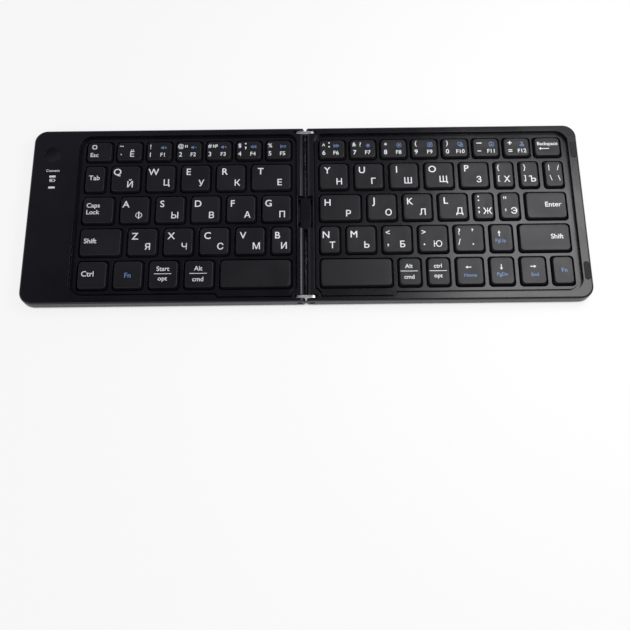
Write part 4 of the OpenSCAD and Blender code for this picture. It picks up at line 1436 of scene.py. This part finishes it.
# %% [markdown]
# ## Screws and feet
#
# Six screws and four feet on each half repeat, so one tree puts a finished piece on a
# point for each. It turns every piece by its own random angle, because a screw stops
# where its thread is tight, and the seed is fixed so that every run gives the same turn.

# %% The repeating tree
repeat_tree, given = new_geometry_tree("repeated_pieces", [
    ("Piece", OBJECT), ("Turn", FLOAT), ("Seed", "NodeSocketInt"), ("Material", MATERIAL)])
turn = add_node(repeat_tree, "FunctionNodeRandomValue", {3: given["Turn"], "Seed": given["Seed"]},
                data_type="FLOAT").outputs[1]
turns = combined(repeat_tree, 0, 0, turn)
end_tree(repeat_tree, given, stamped(repeat_tree, given, "Piece", Rotation=turns))


def repeated(node, mesh, turn, seed):
    """One piece on the centre of each solid of a CAD node, shown instead of that node."""
    piece = add_object("piece", mesh)
    centres = [(*((low + high) / 2 / MM)[:2], 0) for low, high in solids_of(node)]
    points = points_object(centres)
    material = finish[subparts[node]["material_slot"]]
    run_tree(repeat_tree, points, {"Piece": piece, "Turn": turn, "Seed": seed, "Material": material})
    result = show_instead(points, node, "_fine")
    bpy.data.objects.remove(piece)
    print(node, len(centres), "pieces,", len(result.polygons), "faces")

# %% [markdown]
# A screw head is a flat disc with a cross recess. The face between the round rim and the
# cross is filled, the cross is pushed in with tapered walls, and below the head are the
# cone and the shank.

# %% Screws
HEAD_RADIUS = 1.42
SHANK_RADIUS = 0.7
HEAD_EDGE = 0.06
CONE_DEPTH = 0.66
TIP = 0.2
ARM_LENGTH = 0.82
ARM_WIDTH = 0.34
RECESS_DEPTH = 0.42
RECESS_LENGTH = 0.62  # the bottom of the recess against its mouth
RECESS_WIDTH = 0.7
SCREW_STEPS = 32


def cross_outline(work, length, width, z):
    """New vertices at the twelve corners of a cross."""
    l, w = length, width / 2
    corners = [(l, -w), (l, w), (w, w), (w, l), (-w, l), (-w, w)]
    corners += [(-x, -y) for x, y in corners]
    return [work.verts.new((x * MM, y * MM, z * MM)) for x, y in corners]


def closed_edges(work, ring):
    """The edges of a ring of vertices."""
    return [work.edges.get((vertex, ring[i - 1])) for i, vertex in enumerate(ring)]


def screw_mesh(low, high):
    """A sunk screw, head down, from its lowest to its highest point in mm."""
    work = bmesh.new()
    profile = [(HEAD_RADIUS - HEAD_EDGE, low), (HEAD_RADIUS, low + HEAD_EDGE),
               (SHANK_RADIUS, low + CONE_DEPTH), (SHANK_RADIUS, high - TIP), (SHANK_RADIUS - TIP, high)]
    loops = [circle(work, radius, z, SCREW_STEPS) for radius, z in profile]
    for a, b in zip(loops, loops[1:]):
        bridged(work, a, b)
    work.faces.new(loops[-1])
    mouth = cross_outline(work, ARM_LENGTH, ARM_WIDTH, low)
    bottom = cross_outline(work, ARM_LENGTH * RECESS_LENGTH, ARM_WIDTH * RECESS_WIDTH, low + RECESS_DEPTH)
    bridged(work, mouth, bottom)
    work.faces.new(bottom)
    rim = closed_edges(work, loops[0]) + closed_edges(work, mouth)
    bmesh.ops.triangle_fill(work, edges=rim, use_beauty=True)
    bmesh.ops.recalc_face_normals(work, faces=work.faces)
    return mesh_of(work, "screw", smooth=False)


for seed, node in enumerate(("left_screws", "right_screws")):
    low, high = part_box(node)
    repeated(node, screw_mesh(low[2] / MM, high[2] / MM), 2 * math.pi, seed + 1)

# %% [markdown]
# A foot is a rubber disc with a soft rim and two rings that grip the table.

# %% Feet
FOOT_STEPS = 48
# The profile of a foot, from the middle to the rim: radius and height over its lowest point
FOOT_PROFILE = [(0, 0.06), (1.2, 0.06), (1.4, 0), (1.9, 0), (2.1, 0.06), (2.6, 0.06), (2.8, 0), (3.3, 0),
                (3.6, 0.1), (3.85, 0.3), (4.0, 0.55)]
for node in ("left_feet", "right_feet"):
    low, high = [corner[2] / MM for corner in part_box(node)]
    profile = [(radius, low + z) for radius, z in FOOT_PROFILE] + [(FOOT_PROFILE[-1][0], high), (0, high)]
    repeated(node, turned(profile, FOOT_STEPS), 0.0, 0)

# %% [markdown]
# ## Finish
#
# The boxes of the CAD model and of the finished object are written side by side, because
# the finish must not change the size of the keyboard.

# %% Sizes and end
visual_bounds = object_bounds()
for name, (low, high) in (("CAD", cad_bounds), ("visual", visual_bounds)):
    print(name, [round((b - a) / MM, 2) for a, b in zip(low, high)], "mm")
